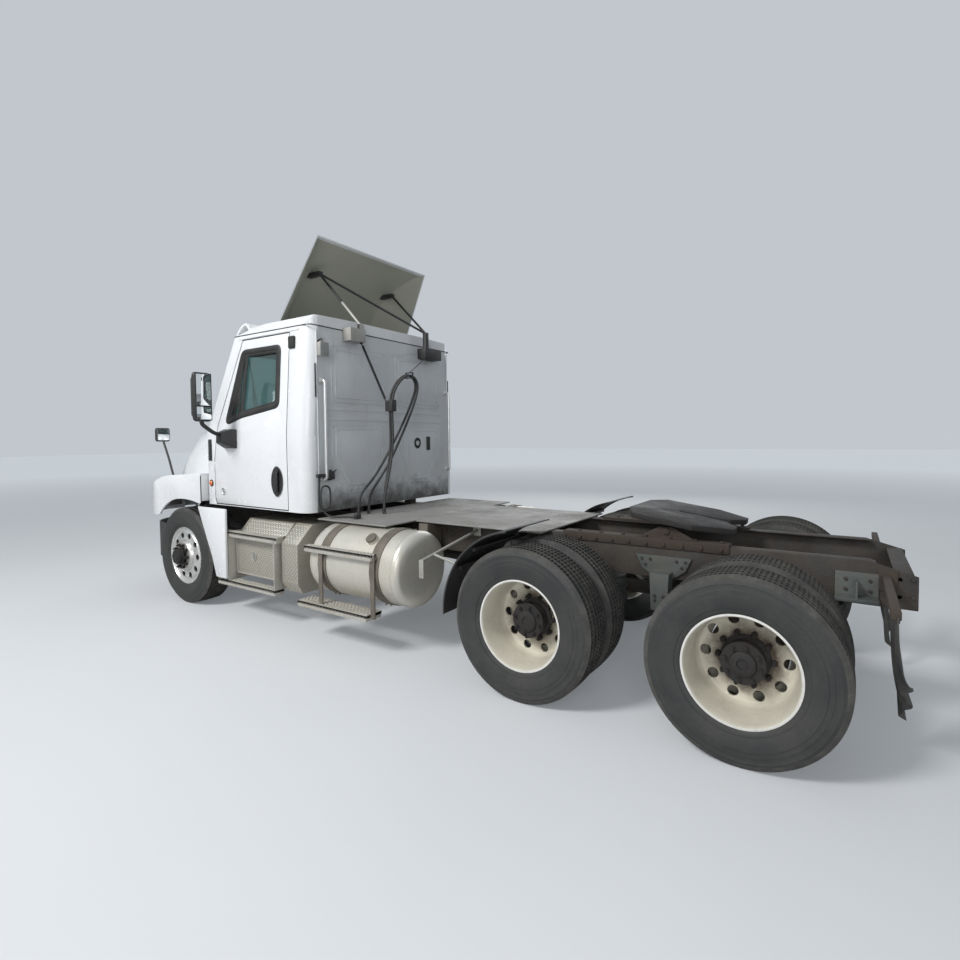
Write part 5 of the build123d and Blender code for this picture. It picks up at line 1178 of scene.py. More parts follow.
side_trim("door_seal", DOOR_EDGE, 0.0042, 1.0, 0.03, "chassis", BLACK_RUBBER, proud=-0.007)
side_trim(
    "roof_seam", [(0.775, CAB_SEAM_Z), (1.800, CAB_SEAM_Z)], 0.0045, 1.0, 0.02, "chassis", BLACK_RUBBER,
    False, 0.0005,
)
REAR_SEAM = [
    (0.775, 0.985, CAB_SEAM_Z), (0.655, 0.985, CAB_SEAM_Z), (0.655, -0.985, CAB_SEAM_Z),
    (0.775, -0.985, CAB_SEAM_Z),
]
ride(bent_bar("roof_seam_rear", REAR_SEAM, 0.0048, 0.119), BLACK_RUBBER)
side_trim(
    "roof_rain_rail", [(0.80, 2.700), (1.72, 2.700)], 0.008, 0.8, 0.02, "chassis", WHITE_PAINT, False, 0.001,
)

# Door mirrors on their wedges
MIRROR_LOW = (1.715, 1.268, 1.885)
MIRROR_HIGH = (1.825, 1.438, 2.345)
housing = rounded_box("mirror_housing", MIRROR_LOW, MIRROR_HIGH, 0.034, 5)
for corner in housing.data.vertices:
    if corner.co.x > 1.77:
        middle = Vector((corner.co.x, 1.353, 2.115))
        corner.co = middle + (corner.co - middle) * 0.82
pair(housing, BLACK_PLASTIC, "door_{}", replaces=("door_fittings_{}",))
for name, low, high, edge, rounds, look in (
    ("mirror_bead", (1.709, 1.276, 1.895), (1.721, 1.430, 2.335), 0.02, 4, BLACK_RUBBER),
    ("mirror_pane", (1.7075, 1.286, 2.035), (1.7115, 1.420, 2.325), 0.0018, 2, MIRROR_GLASS),
    ("mirror_low_pane", (1.7075, 1.286, 1.905), (1.7115, 1.420, 2.022), 0.0018, 2, MIRROR_GLASS),
):
    pair(rounded_box(name, low, high, edge, rounds), look, "door_{}")
wedge = rounded_box("mirror_wedge", (1.700, 1.046, 1.625), (1.930, 1.165, 1.822), 0.012, 4)
for corner in wedge.data.vertices:
    out = (corner.co.y - 1.046) / 0.119
    corner.co.x = corner.co.x + (1.822 - corner.co.x) * 0.62 * out
    corner.co.z = corner.co.z + (1.742 - corner.co.z) * 0.50 * out
pair(wedge, BLACK_PLASTIC, "door_{}")
mirror_arm = bent_bar(
    "mirror_arm", [(1.820, 1.12, 1.745), (1.815, 1.225, 1.790), (1.785, 1.335, 1.860), (1.775, 1.350, 1.930)],
    0.019, 0.05
)
pair(mirror_arm, BLACK_PLASTIC, "door_{}")

# Door handles in oval dishes, round locks, and a rubber rest behind each door
HANDLE_X = 1.078
HANDLE_Z = 1.325
handle_skin = cab_half(HANDLE_Z)
dish = spun(
    "handle_dish",
    [(0.0, 0.0), (0.0, 0.070), (0.004, 0.082), (0.009, 0.085), (0.011, 0.080), (0.004, 0.068), (0.003, 0.0)],
    48,
)
grip = rounded_box("handle_grip", (-0.030, 0.010, -0.092), (0.030, 0.032, 0.092), 0.011, 4)
handle = joined("handle_set", [dish, grip])
for corner in handle.data.vertices:
    corner.co.z *= 1.62 if abs(corner.co.y) < 0.0115 else 1.0
handle.data.transform(Matrix.Translation((HANDLE_X, handle_skin, HANDLE_Z)))
pair(handle, BLACK_PLASTIC, "door_{}", name="door_handle")
lock = spun(
    "door_lock",
    [
        (0.0, 0.0), (0.0, 0.036), (0.006, 0.036), (0.008, 0.030), (0.003, 0.026), (0.003, 0.016),
        (0.007, 0.014), (0.007, 0.0),
    ],
    40, (1.964, cab_half(1.195), 1.195),
)
pair(lock, BRIGHT_METAL, "door_{}")
rest_y = cab_half(2.59) - 0.003
pair(rounded_box("door_rest", (0.840, rest_y, 2.535), (0.922, rest_y + 0.026, 2.645), 0.010, 3), BLACK_RUBBER)

# Cab fittings: grab handles, work lamp, vents of the back wall, cowl vents, amber markers
grab = bent_bar(
    "grab_rail", [(0.658, 0.880, 1.350), (0.595, 0.880, 1.350), (0.595, 0.880, 2.240), (0.658, 0.880, 2.240)],
    0.0155, 0.055,
)
flanges = [
    rounded_box(f"grab_foot_{k}", (0.646, 0.855, z - 0.030), (0.6545, 0.905, z + 0.030), 0.004, 2)
    for k, z in enumerate((1.350, 2.240))
]
pair(joined("grab_rail_set", [grab] + flanges), BRIGHT_METAL, replaces=("cab_fittings",), name="grab_rail")
lamp_body = rounded_box("work_lamp_body", (0.556, 0.866, 2.448), (0.600, 0.964, 2.570), 0.012, 4)
lamp_rim = rounded_box("work_lamp_rim", (0.542, 0.8655, 2.445), (0.560, 0.9645, 2.573), 0.007, 3)
ride(joined("work_lamp_body", [lamp_body, lamp_rim]), LIGHT_STEEL)
ride(rounded_box("work_lamp_lens", (0.5405, 0.876, 2.456), (0.5435, 0.954, 2.562), 0.001, 2), LENS)
ride(
    bent_bar(
        "work_lamp_arm",
        [(0.575, 0.915, 2.566), (0.590, 0.910, 2.608), (0.640, 0.900, 2.600), (0.656, 0.900, 2.580)], 0.007,
        0.02,
    ),
    BLACK_PLASTIC,
)
RING_VENT_X = 0.6435
ring_vent = spun(
    "ring_vent",
    [
        (0.0, 0.0), (0.0, 0.048), (-0.008, 0.048), (-0.013, 0.043), (-0.013, 0.036), (-0.004, 0.030),
        (-0.004, 0.0),
    ],
    48, (RING_VENT_X, -0.385, 1.665), "X",
)
for corner in ring_vent.data.vertices:
    corner.co.z = 1.665 + (corner.co.z - 1.665) * 1.22
ride(ring_vent, BLACK_RUBBER)
# The vent's face is in the back wall's paint, darkened as painted shade
ride(round_bar("ring_vent_face", (0.6405, -0.385, 1.665), (0.6360, -0.385, 1.665), 0.027, 32), BACK_PAINT_DUST_AND_SHADE)
ride(rounded_box("slot_vent", (0.632, -0.590, 1.585), (0.6432, -0.534, 1.735), 0.0055, 4), BLACK_RUBBER)
vent_y = cab_half(1.60)
vent_parts = [rounded_box("cowl_vent_back", (2.155, vent_y, 1.500), (2.215, vent_y + 0.005, 1.720), 0.002, 2)]
for z in [1.514 + 0.0255 * k for k in range(8)]:
    low, high = (2.157, vent_y + 0.002, z), (2.213, vent_y + 0.0098, z + 0.012)
    vent_parts.append(rounded_box("cowl_slat", low, high, 0.003, 2))
pair(joined("cowl_vent", vent_parts), BLACK_PLASTIC)
marker_y = cab_half(1.298)
marker = spun(
    "marker_dome", [(0.0, 0.0), (0.0, 0.026), (0.010, 0.025), (0.018, 0.017), (0.0215, 0.006), (0.022, 0.0)],
    32, (2.180, marker_y, 1.270),
)
pair(marker, AMBER)
collar = spun(
    "marker_collar", [(0.0, 0.026), (0.0, 0.034), (0.006, 0.034), (0.008, 0.026)], 32,
    (2.180, marker_y, 1.270),
)
pair(collar, BLACK_RUBBER)

# Back wall: nested beads round the pressed panels, edge strips and slots
beads = []
for sign in (1, -1):
    for step in (0, 1):
        s = 0.040 * step
        x = CAB_BACK_X - 0.0015 - 0.006 * step
        upper = [
            (0.075 + s, 2.060 + s), (0.757 - s, 2.060 + s), (0.757 - s, 2.578 - s), (0.075 + s, 2.578 - s),
        ]
        shield = [
            (0.280 + s / 2, 1.235 + s), (0.580 - s / 2, 1.235 + s), (0.760 - s, 1.565),
            (0.760 - s, 1.840 - s), (0.100 + s, 1.840 - s), (0.100 + s, 1.565),
        ]
        for k, corners in enumerate((upper, shield)):
            line = looped([(x, sign * y, z) for y, z in corners])
            beads.append(bent_bar(f"panel_bead_{sign}_{step}_{k}", line, 0.0065, 0.068 - 0.4 * s))
for y in (0.915, -0.915):
    beads.append(bent_bar("edge_strip", [(0.6545, y, 1.085), (0.6545, y, 2.700)], 0.007, 0.02))
# The beads are in the back wall's paint, darkened as painted shade
ride(joined("back_wall_beads", beads), BACK_PAINT_DUST_AND_SHADE)
pair(rounded_box("edge_slot", (0.646, 0.930, 2.090), (0.6575, 0.942, 2.395), 0.005, 3), BLACK_RUBBER)


# Raised lozenges of diamond plate, laid as a field on a flat face
def lozenge_field(name, corner, along, across, out, count_along, count_across, pitch=0.040):
    """Rows of small raised lozenges, turned this way and that, from a corner over a flat face."""
    pieces = []
    for k, turn in enumerate((42, -42)):
        bpy.ops.mesh.primitive_cone_add(
            vertices=4, radius1=0.5, radius2=0.14, depth=1, end_fill_type="TRIFAN",
        )
        lozenge = bpy.context.object
        lozenge.scale = (0.8 * pitch, 0.26 * pitch, 0.0022)
        lozenge.rotation_euler = (0, 0, radians(turn))
        lozenge.location = (pitch / 2 * k, pitch / 2 * k, 0.0003)
        lozenge = named(f"{name}_{k}")
        edit_faces(lozenge, lambda c, n: n.z < -0.5)
        bpy.ops.mesh.delete(type="FACE")
        close_edit()
        pieces.append(in_rows(lozenge, count_along, pitch, count_across))
    field = joined(name, pieces)
    axes = Matrix([Vector(way).normalized() for way in (along, across, out)]).transposed()
    field.data.transform(Matrix.Translation(corner) @ axes.to_4x4())
    return field


SLOPE = Vector((0, -0.150, 0.170))
SLOPE_OUT = Vector((0, 0.170, 0.150))
COVER_SLOPE = Vector((0, -0.160, 0.160))
COVER_LOW_SLOPE = Vector((0, 0.050, 0.090))
plates = [
    # corner, along, across, out, rows along, rows across
    lozenge_field("box_face", (1.020, 1.0795, 0.425), (1, 0, 0), (0, 0, 1), (0, 1, 0), 16, 8),
    lozenge_field("box_slope", (1.020, 1.068, 0.775), (1, 0, 0), SLOPE, SLOPE_OUT, 16, 5),
    lozenge_field("cover_face", (0.735, 1.1095, 0.440), (1, 0, 0), (0, 0, 1), (0, 1, 0), 5, 8),
    lozenge_field("cover_slope", (0.735, 1.100, 0.790), (1, 0, 0), COVER_SLOPE, (0, 1, 1), 5, 5),
    lozenge_field("cover_foot", (0.735, 1.066, 0.342), (1, 0, 0), COVER_LOW_SLOPE, (0, 0.09, -0.05), 5, 2),
]
# The box's lozenges are painted pale as a painted highlight, against the plate's painted shade
pair(joined("box_plate_pattern", plates), LOZENGE_HIGHLIGHT_AND_DUST)
HEMS = (
    ((1.012, 1.079, 0.412), (1.024, 1.0835, 0.752)), ((1.686, 1.079, 0.412), (1.698, 1.0835, 0.752)),
    ((1.012, 1.079, 0.742), (1.698, 1.0835, 0.754)), ((1.012, 1.079, 0.408), (1.698, 1.0835, 0.420)),
    ((1.700, 1.060, 0.405), (1.709, 1.081, 0.758)), ((0.722, 1.095, 0.425), (0.731, 1.112, 0.778)),
)
hems = [rounded_box("box_hem", low, high, 0.0025, 2) for low, high in HEMS]
pair(joined("box_hems", hems), TREAD_PLATE)
latch = [
    spun(
        "latch_dish",
        [(0.0, 0.0), (0.0, 0.044), (0.004, 0.046), (0.007, 0.043), (0.002, 0.036), (0.002, 0.0)], 32,
        (1.415, 1.0795, 0.600),
    ),
    rounded_box("latch_bar", (1.408, 1.0805, 0.572), (1.422, 1.092, 0.632), 0.005, 3),
]
pair(joined("box_latch", latch), LIGHT_STEEL)

# Steps: lips with a row of holes, and treads with punched and serrated rings, dark discs in the holes as
# painted shade
STEPS = (
    # low x, high x, inner y, outer y, top z
    (-0.315, 0.475, 1.158, 1.225, 0.825),
    (-0.257, 0.575, 1.066, 1.225, 0.345),
    (0.950, 1.790, 1.086, 1.160, 0.825),
    (0.985, 1.900, 1.062, 1.160, 0.345),
)


def ring_row(name, count, pitch, rows, radius, height, teeth=10):
    """Rows of punched rings with serrated rims, on the level through the origin."""
    bpy.ops.mesh.primitive_torus_add(
        major_segments=teeth, minor_segments=4, major_radius=radius, minor_radius=height / 2,
        location=(0, 0, height / 3)
    )
    rim = named(name)
    for k, corner in enumerate(rim.data.vertices):
        if (k // 4) % 2 and corner.co.z > height / 2:
            corner.co.z += height * 0.5
    return in_rows(rim, count, pitch, rows)


def hole_shade_row(name, count, pitch, rows, radius):
    """Dark discs in the punched holes, painted shade in place of the open holes."""
    bpy.ops.mesh.primitive_cylinder_add(vertices=10, radius=radius, depth=0.0012, location=(0, 0, 0.0002))
    return in_rows(named(name), count, pitch, rows)


tread_parts = []
hole_shade_parts = []
FACE_OUT = Matrix.Rotation(-pi / 2, 4, "X")
for low_x, high_x, inner_y, outer_y, top_z in STEPS:
    pitch = 0.040
    count = int((high_x - low_x - 0.03) / pitch)
    start_x = (low_x + high_x - (count - 1) * pitch) / 2
    rows = max(1, int((outer_y - inner_y) / pitch))
    start_y = (inner_y + outer_y - (rows - 1) * pitch) / 2
    rings = ring_row("tread_rings", count, pitch, rows, 0.0115, 0.005)
    holes = hole_shade_row("tread_hole_shades", count, pitch, rows, 0.0100)
    for piece in (rings, holes):
        piece.data.transform(Matrix.Translation((start_x, start_y, top_z)))
    lip = rounded_box(
        "step_lip", (low_x, outer_y - 0.004, top_z - 0.052), (high_x, outer_y, top_z + 0.001), 0.0018, 2,
    )
    lip_rings = ring_row("lip_rings", count, pitch, 1, 0.0130, 0.003, 12)
    lip_hole_shades = hole_shade_row("lip_hole_shades", count, pitch, 1, 0.0120)
    for piece in (lip_rings, lip_hole_shades):
        piece.data.transform(Matrix.Translation((start_x, outer_y - 0.001, top_z - 0.026)) @ FACE_OUT)
    ends = [
        rounded_box("step_end", (x, inner_y + 0.002, top_z - 0.050), (x + 0.004, outer_y, top_z), 0.0018, 2)
        for x in (low_x, high_x - 0.004)
    ]
    tread_parts += [rings, lip, lip_rings] + ends
    hole_shade_parts += [holes, lip_hole_shades]
pair(joined("step_treads", tread_parts), TREAD_PLATE)
# The dark discs in the holes are painted shade
pair(joined("step_hole_shades", hole_shade_parts), BLACK_RUBBER)
STEP_FRAME = dressed("side_steps", TREAD_PLATE, 0.002)
paint_faces(
    STEP_FRAME, STRAP_STEEL,
    lambda spot, normal: spot.x < 0.60 and 1.190 < abs(spot.y) < 1.212 and 0.348 < spot.z < 0.797,
)

# Tightening bolts of the tank straps
strap_bolts = []
for x in (-0.353, 0.250):
    for turn in (-62, 118):
        way = Vector((0, cos(radians(turn)), sin(radians(turn))))
        for shift in (0.022, 0.073):
            foot = Vector((x + shift, TANK_Y, TANK_Z)) + way * 0.3085
            strap_bolts.append(round_bar("strap_bolt", foot, foot + way * 0.014, 0.009, 6))
pair(joined("strap_bolts", strap_bolts), STRAP_STEEL)

# Raised lozenges of the deck plates
DECK_TOP_Z = 1.0022
deck_parts = [
    lozenge_field(name, (x, y, DECK_TOP_Z), (1, 0, 0), (0, 1, 0), (0, 0, 1), along, across, 0.0405)
    for name, x, y, along, across in (
        ("deck_front_left", -0.185, 0.020, 20, 22), ("deck_front_right", -0.185, -0.930, 20, 22),
        ("deck_rear", -1.440, -0.590, 30, 29),
    )
]
ride(joined("deck_lozenges", deck_parts), DECK_PLATE)

# Air springs as rubber bellows between their plates
SPRING_PROFILE = [
    (0.0, 0.0), (0.0, 0.085), (0.018, 0.090), (0.030, 0.106), (0.060, 0.117), (0.092, 0.112), (0.106, 0.103),
    (0.112, 0.100), (0.122, 0.104), (0.150, 0.117), (0.190, 0.117), (0.212, 0.104), (0.222, 0.098),
    (0.224, 0.108), (0.2342, 0.108), (0.2342, 0.0),
]
bellows = [
    spun(f"bellows_{k}", SPRING_PROFILE, 40, (x - 0.340, 0.465, 0.5004), "Z")
    for k, x in enumerate(DRIVE_AXLES_X.values())
]
pair(joined("air_bellows", bellows), TYRE_SIDE, replaces=("air_springs",))

# Quarter fenders as smooth arcs with rolled rims, on dark arms
QUARTER_PROFILE = [
    (0.610, 0.605), (1.204, 0.605), (1.208, 0.598), (1.214, 0.598), (1.215, 0.606), (1.210, 0.613),
    (0.616, 0.613), (0.611, 0.611),
]
quarter = spun("quarter_arc", QUARTER_PROFILE, 40, angle=radians(84))
if min(v.co.z for v in quarter.data.vertices) < -0.3:
    quarter.data.transform(Matrix.Diagonal((1, 1, -1, 1)))
quarter.data.transform(Matrix.Rotation(radians(2), 4, "Y"))
quarter.data.transform(Matrix.Translation((DRIVE_AXLES_X["front"], 0, TYRE_RADIUS)))
outward(quarter)
round_edges(quarter, 0.0012, 45)
pair(quarter, BLACK_PLASTIC, replaces=("quarter_fenders",))
arms = []
for turn, start_y in ((49, 0.432), (31, 0.448)):
    x = DRIVE_AXLES_X["front"] + 0.589 * cos(radians(turn))
    z = TYRE_RADIUS + 0.589 * sin(radians(turn))
    arms.append(round_bar("quarter_arm", (x, start_y, z), (x, 1.150, z), 0.0155, 24))
    low, high = (x - 0.040, 0.4315, z - 0.045), (x + 0.040, 0.441, z + 0.045)
    arms.append(rounded_box("quarter_arm_foot", low, high, 0.004, 2))
pair(joined("quarter_arms", arms), BLACK_PLASTIC)

# Mudflaps: crumpled rubber sheets under their arms
FLAP_X = -3.592
FLAP_INNER_Y = 0.600
FLAP_WIDTH = 0.590
FLAP_TOP_Z = 0.895
FLAP_LENGTH = 0.712


def crumpled_flap():
    """Sheet that hangs in soft folds and narrows towards its lower end."""
    bpy.ops.mesh.primitive_grid_add(x_subdivisions=36, y_subdivisions=44, size=1)
    flap = named("mudflap_sheet")
    for corner in flap.data.vertices:
        wide = corner.co.x + 0.5
        down = 0.5 - corner.co.y
        fold = 0.020 * sin(11.0 * wide + 2.0 * down + 1.0) + 0.008 * sin(27.0 * wide - 4.0 * down)
        x = FLAP_X - 0.075 * down ** 1.5 - fold * down ** 0.8
        y = FLAP_INNER_Y + FLAP_WIDTH * wide * (1 - 0.66 * down ** 1.2)
        z = FLAP_TOP_Z - FLAP_LENGTH * down + 0.260 * down ** 2 * wide
        corner.co = Vector((x, y, z))
    shape_by(flap, "SOLIDIFY", thickness=0.007, offset=0)
    outward(flap)
    smooth(flap, 60)
    return flap


pair(crumpled_flap(), FLAP_RUBBER, replaces=("mudflaps",))
flap_arms = [
    rounded_box("flap_arm", (-3.606, 0.431, 0.880), (-3.566, 1.180, 0.920), 0.004, 3),
    rounded_box("flap_clamp", (-3.600, 0.605, 0.866), (-3.580, 1.178, 0.884), 0.003, 2),
    rounded_box("flap_plate", (-3.640, 0.4305, 0.830), (-3.545, 0.440, 0.950), 0.004, 2),
]
pair(joined("flap_arms", flap_arms), RUSTY_STEEL, slot="frame_paint")

# Hoses behind the cab: smooth cords on their given points
HOSES = (
    # name, diameter, length, points in millimetres
    ("air_hose_front", 0.024, 2.91, (
        (350, 420, 1042.3), (350, 420, 1150), (351, 388, 1300), (352, 346, 1470), (348, 319, 1680),
        (350, 322, 1900), (347, 330, 2060), (338, 302, 2185), (316, 238, 2283), (288, 172, 2334),
        (272, 106, 2330), (266, 56, 2280), (268, 46, 2205), (284, 84, 2085), (324, 140, 1915),
        (376, 222, 1720), (426, 320, 1520), (456, 450, 1330), (468, 588, 1215), (470, 625, 1120),
        (470, 625, 1042.3),
    )),
    ("air_hose_rear", 0.024, 2.844, (
        (318, 450, 1042.3), (318, 450, 1140), (319, 406, 1290), (320, 352, 1470), (316, 321, 1680),
        (318, 324, 1900), (315, 331, 2060), (306, 305, 2178), (284, 244, 2276), (256, 180, 2328),
        (240, 112, 2326), (234, 62, 2276), (236, 50, 2200), (250, 80, 2080), (288, 130, 1910),
        (336, 205, 1710), (386, 290, 1500), (436, 385, 1330), (461, 466, 1215), (465, 505, 1115),
        (465, 505, 1042.3),
    )),
    ("corner_hose", 0.016, 1.179, (
        (600, 960, 1369.7), (600, 960, 1288), (598, 967, 1200), (596, 964, 1115), (594, 932, 1078),
        (592, 884, 1077), (590, 851, 1112), (588, 847, 1185), (585, 852, 1258), (581, 884, 1293),
        (577, 931, 1295), (573, 965, 1262), (569, 971, 1190), (564, 964, 1112), (554, 945, 1060),
        (526, 922, 1028.3), (480, 893, 1016.3), (430, 847, 1017.3), (380, 800, 1015.3), (315, 800, 1015.3),
    )),
)
for node, diameter, length, spots in HOSES:
    path = [tuple(c / 1000 for c in spot) for spot in spots]
    hose = round_curve(f"{node}_line", path, diameter / 2, 10)
    ride(hose, HOSE_RUBBER, replaces=(node,))

# The hoses' tension spring, hung from the left strut's bracket, and the collars of their fittings
def coil_bar(name, start, end, radius, pitch=0.0075):
    """Closely wound spring as rings on a line."""
    way = Vector(end) - Vector(start)
    count = int(way.length / pitch)
    bpy.ops.mesh.primitive_torus_add(
        major_segments=14, minor_segments=5, major_radius=radius - 0.003, minor_radius=0.0036,
    )
    ring = named(name)
    repeated(ring, count, (0, 0, way.length / count))
    ring.data.transform(aimed(start, way))
    smooth(ring, 60)
    return ring


spring = coil_bar("hose_spring", (0.3795, 0.3585, 2.1000), (0.5535, 0.4655, 2.600), 0.0125)
core = round_bar("hose_spring_core", (0.3780, 0.3575, 2.0955), (0.5560, 0.467, 2.607), 0.0085, 12)
ride(joined("hose_spring", [spring, core]), BLACK_PLASTIC)
fitting_parts = []
for x, y in ((0.350, 0.420), (0.470, 0.625), (0.318, 0.450), (0.465, 0.505)):
    fitting_parts.append(round_bar("fitting_nut", (x, y, 1.0028), (x, y, 1.020), 0.0168, 6))
    fitting_parts.append(round_bar("fitting_collar", (x, y, 1.020), (x, y, 1.0420), 0.0145, 20))
ride(joined("hose_fittings", fitting_parts), LIGHT_STEEL)
coupler_parts = [
    rounded_box("coupler_plate", (0.640, 0.782, 1.335), (0.6545, 0.848, 1.430), 0.003, 2),
    spun(
        "coupler_head",
        [
            (-0.050, 0.0), (-0.050, 0.026), (-0.040, 0.030), (-0.012, 0.030), (-0.008, 0.022), (0.0, 0.022),
            (0.0, 0.0),
        ],
        28, (0.652, 0.815, 1.385), "X",
    ),
    bent_bar(
        "coupler_handle", [(0.608, 0.800, 1.400), (0.604, 0.775, 1.425), (0.612, 0.760, 1.430)], 0.006, 0.01,
    ),
]
ride(joined("parked_coupler", coupler_parts), BLACK_PLASTIC)


# Seats: cushions puffed up by cloth, on their pans
def cushion(name, low, high, edge, pinch, cap=0.024, lean=0.0):
    """Padded form between two corners, its sides drawn in between the corners, puffed by cloth."""
    piece = rounded_box(name, low, high, edge, 4)
    middle = Vector([(a + b) / 2 for a, b in zip(low, high)])
    select_only(piece)
    piece.data.remesh_voxel_size = 0.008
    bpy.ops.object.voxel_remesh()
    start = [corner.co.copy() for corner in piece.data.vertices]
    cloth = piece.modifiers.new("Padding", "CLOTH")
    cloth.settings.use_pressure = True
    cloth.settings.uniform_pressure_force = 4.0
    cloth.settings.effector_weights.gravity = 0.0
    for frame_number in range(1, 21):
        bpy.context.scene.frame_set(frame_number)
    seen = piece.evaluated_get(bpy.context.evaluated_depsgraph_get())
    puffed = [corner.co.copy() for corner in seen.data.vertices]
    piece.modifiers.remove(cloth)
    bpy.context.scene.frame_set(1)
    for corner, old, new in zip(piece.data.vertices, start, puffed):
        way = new - old
        corner.co = old + way * min(1.0, cap / max(way.length, 1e-6))
    for corner in piece.data.vertices:
        away = corner.co - middle
        along = abs(away.y) / (high[1] - low[1]) * 2
        groove = max(0.0, 1 - abs(along - 0.62) / 0.05)
        if pinch == "top" and away.z > 0:
            corner.co.z -= 0.012 * groove
        if pinch == "face" and away.x > 0:
            corner.co.x -= 0.012 * groove
        corner.co.x += lean * (corner.co.z - low[2])
    smooth(piece, 60)
    return piece


PADS = (
    cushion("seat_cushion", (1.045, 0.262, 1.478), (1.535, 0.698, 1.572), 0.030, "top"),
    cushion("seat_back", (0.985, 0.268, 1.590), (1.052, 0.692, 2.130), 0.030, "face", 0.024, -0.115),
    cushion("head_rest", (0.900, 0.360, 2.175), (0.950, 0.600, 2.305), 0.022, "none", 0.016),
)
for side, sign in SIDES:
    for pad in PADS:
        twin = copy_of(pad, f"{pad.name}_{side}", flip_y=sign < 0)
        smooth(twin, 60)
        ride(twin, SEAT_CLOTH, replaces=("seats",) if pad is PADS[0] else ())
for pad in PADS:
    bpy.data.objects.remove(pad)
seat_frames = [
    rounded_box("seat_pan", (1.030, 0.250, 1.4515), (1.545, 0.710, 1.480), 0.008, 3),
    rounded_box("seat_back_shell", (0.945, 0.300, 1.560), (0.975, 0.660, 2.110), 0.010, 3),
    round_bar("head_rest_post_a", (0.925, 0.430, 2.120), (0.925, 0.430, 2.200), 0.007, 12),
    round_bar("head_rest_post_b", (0.925, 0.530, 2.120), (0.925, 0.530, 2.200), 0.007, 12),
]
for corner in seat_frames[1].data.vertices:
    corner.co.x -= 0.095 * (corner.co.z - 1.590)
pair(joined("seat_frame", seat_frames), CABIN_PLASTIC)

# Steering wheel: rim, spokes and padded boss on its column
STEERING_PLACE = Vector((1.7897, 0.480, 1.830))
STEERING_UP = Vector((-sin(radians(50)), 0, cos(radians(50))))
bpy.ops.mesh.primitive_torus_add(major_segments=64, minor_segments=14, major_radius=0.212, minor_radius=0.015)
steering_parts = [named("steering_rim")]
for turn in (15, 165, 270):
    way = Vector((cos(radians(turn)), sin(radians(turn)), 0))
    steering_parts.append(round_bar("steering_spoke", way * 0.04, way * 0.205, 0.011, 14))
boss = rounded_box("steering_boss", (-0.070, -0.055, -0.020), (0.070, 0.055, 0.016), 0.016, 4)
column = round_bar("steering_column", (0, 0, -0.010), (0, 0, -0.200), 0.030, 20)
steering = joined("steering_wheel_rim", steering_parts + [boss, column])
axes = Matrix((Vector((0, 1, 0)), STEERING_UP.cross(Vector((0, 1, 0))), STEERING_UP)).transposed().to_4x4()
steering.data.transform(Matrix.Translation(STEERING_PLACE + STEERING_UP * 0.013) @ axes)
outward(steering)
smooth(steering, 50)
ride(steering, CABIN_PLASTIC, replaces=("steering_wheel",))
DIAL = [(0.0, 0.0), (0.0, 0.044), (-0.010, 0.046), (-0.014, 0.042), (-0.008, 0.038), (-0.008, 0.0)]
dash_parts = [spun("dash_dial", DIAL, 28, (1.908, 0.480 + k * 0.115, 1.690), "X") for k in (-1, 0, 1)]
for y in (-0.62, -0.30, 0.06, 0.80):
    dash_parts.append(rounded_box("dash_vent", (1.896, y - 0.06, 1.65), (1.912, y + 0.06, 1.7), 0.005, 2))
ride(joined("dash_details", dash_parts), BLACK_PLASTIC, slot="cabin_plastic")

# Windscreen rubber and wipers
def screen_x(z):
    """The windscreen's outer skin at a height."""
    return 2.200 - (2.200 - 1.790) / (CAB_SEAM_Z - 1.850) * (z - 1.850)


SCREEN = [(0.0, 1.925), (0.905, 1.925), (0.865, 2.645), (-0.865, 2.645), (-0.905, 1.925), (0.0, 1.925)]
ride(bent_bar("screen_rubber", [(screen_x(z) - 0.004, y, z) for y, z in SCREEN], 0.017, 0.055), BLACK_RUBBER)
wipers = []
for y in (0.50, -0.35):
    foot = (screen_x(1.865) + 0.012, y, 1.872)
    head = (screen_x(2.28) + 0.022, y + 0.16, 2.28)
    wipers.append(bent_bar("wiper_arm", [foot, (foot[0] + 0.02, y + 0.01, 1.93), head], 0.006, 0.02))
    low = (screen_x(1.99) + 0.012, y + 0.02, 1.99)
    high = (screen_x(2.52) + 0.012, y + 0.27, 2.52)
    wipers.append(round_bar("wiper_blade", low, high, 0.006, 10))
ride(joined("wipers", wipers), BLACK_PLASTIC)

# Hood: mirrors on their arms, screen behind the grille, bowls in the lamps
hood_head = rounded_box("hood_mirror_head", (3.440, 0.820, 1.700), (3.500, 0.980, 1.860), 0.024, 4)
for corner in hood_head.data.vertices:
    if corner.co.x > 3.47:
        corner.co.y = 0.9 + (corner.co.y - 0.9) * 0.84
        corner.co.z = 1.78 + (corner.co.z - 1.78) * 0.84
hood_arm = bent_bar(
    "hood_mirror_arm", [(3.195, 0.900, 1.205), (3.330, 0.900, 1.500), (3.452, 0.900, 1.715)], 0.0115, 0.05,
)
hood_foot = rounded_box("hood_mirror_foot", (3.150, 0.876, 1.178), (3.220, 0.924, 1.238), 0.012, 3)
pair(
    joined("hood_mirror_set", [hood_head, hood_arm, hood_foot]), BLACK_PLASTIC, "hood",
    replaces=("hood_mirrors",), name="hood_mirror",
)
pair(
    rounded_box("hood_mirror_pane", (3.4355, 0.836, 1.716), (3.4395, 0.964, 1.844), 0.0018, 2), MIRROR_GLASS,
    "hood",
)
ride(
    rounded_box("grille_screen", (3.583, -0.425, 0.885), (3.588, 0.425, 1.425), 0.002, 2), BLACK_PLASTIC,
    "hood",
)
BOWL = [
    (0.0, 0.0), (0.0, 0.012), (0.018, 0.036), (0.040, 0.049), (0.042, 0.047), (0.020, 0.034), (0.002, 0.010),
    (0.002, 0.0),
]
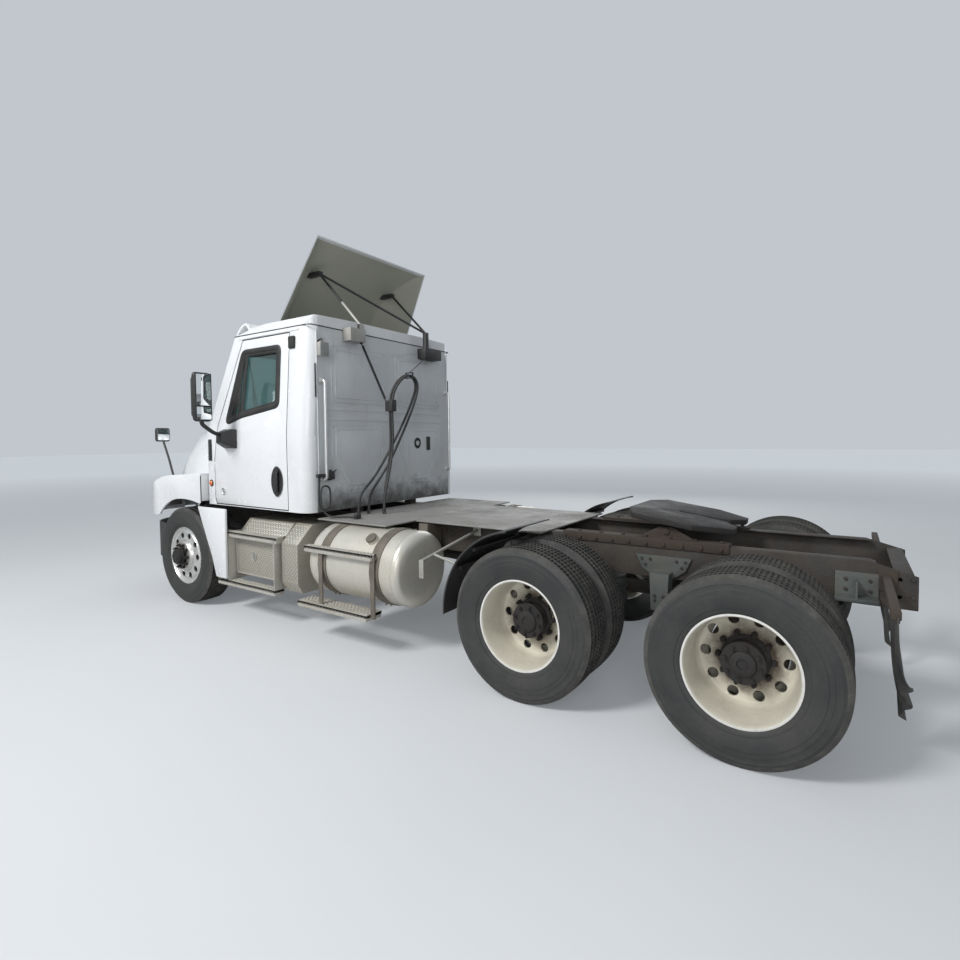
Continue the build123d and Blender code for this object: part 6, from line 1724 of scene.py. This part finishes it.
bowls = [spun("lamp_bowl", BOWL, 32, (3.350 + 0.10 * (0.98 - y), y, 1.020), "X") for y in (0.815, 0.920)]
bowls.append(rounded_box("lamp_back", (3.330, 0.764, 0.950), (3.345, 0.976, 1.090), 0.004, 2))
pair(joined("lamp_bowls", bowls), BRIGHT_METAL, "hood")

# Plates that close the fenders' rear ends, and the brackets before the quarter fenders
pair(
    rounded_box("fender_closing_plate", (2.2475, 1.000, 1.085), (2.2535, 1.112, 1.366), 0.002, 2),
    WHITE_PAINT, "hood",
)
bracket = [
    bent_bar("fender_bracket_bar", [(-0.750, 0.432, 0.935), (-0.750, 1.140, 0.812)], 0.0125, 0.03),
    rounded_box("fender_bracket_foot", (-0.790, 0.4315, 0.890), (-0.710, 0.441, 0.975), 0.004, 2),
    rounded_box("fender_bracket_tab", (-0.772, 1.136, 0.685), (-0.728, 1.144, 0.822), 0.003, 2),
    bent_bar("fender_bracket_brace", [(-0.750, 1.000, 0.837), (-1.020, 1.030, 0.790)], 0.010, 0.02),
]
pair(joined("fender_bracket", bracket), LIGHT_STEEL)

# Bolts of the frame, hangers and slide rails
def bolt_row(places, way, radius=0.011, length=0.009):
    """Hexagon heads standing on a face."""
    way = Vector(way)
    pattern = round_bar("bolt_pattern", (0, 0, 0), way * length, radius, 6, 0.0015)
    heads = [copy_of(pattern, "bolt_head", place) for place in places]
    bpy.data.objects.remove(pattern)
    return heads


RAIL_FACE_Y = 0.430
HANGER_FACE_Y = 0.446
bolts = []
for x in (3.30, 2.85, 2.15, 1.35, 0.45, -0.45, -1.05, -3.62, -3.68):
    bolts += bolt_row([(x + dx, RAIL_FACE_Y, z) for dx in (-0.030, 0.030) for z in (0.805, 0.905)], (0, 1, 0))
for hx in (-1.005, -2.325):
    bolts += bolt_row([(hx + dx, HANGER_FACE_Y, 0.865) for dx in (-0.150, -0.09, 0.09, 0.150)], (0, 1, 0))
    bolts += bolt_row([(hx + dx, HANGER_FACE_Y, 0.825) for dx in (-0.125, 0.125)], (0, 1, 0))
    bolts += bolt_row([(hx + dx, 0.545, z) for dx in (-0.03, 0.03) for z in (0.61, 0.64)], (0, 1, 0), 0.012)
for x in (-3.51, -3.39):
    bolts += bolt_row([(x, 0.442, z) for z in (0.82, 0.88)], (0, 1, 0))
pair(joined("frame_bolts", bolts), FRAME_PAINT)
slide_bolts = bolt_row([(-2.70 + 0.125 * k, 0.442, 0.972) for k in range(10)], (0, 1, 0), 0.014, 0.012)
slide_bolts += bolt_row([(-2.70 + 0.170 * k, 0.400, 1.008) for k in range(7)], (0, 0, 1), 0.013, 0.012)
pair(joined("slide_bolts", slide_bolts), RUSTY_STEEL)
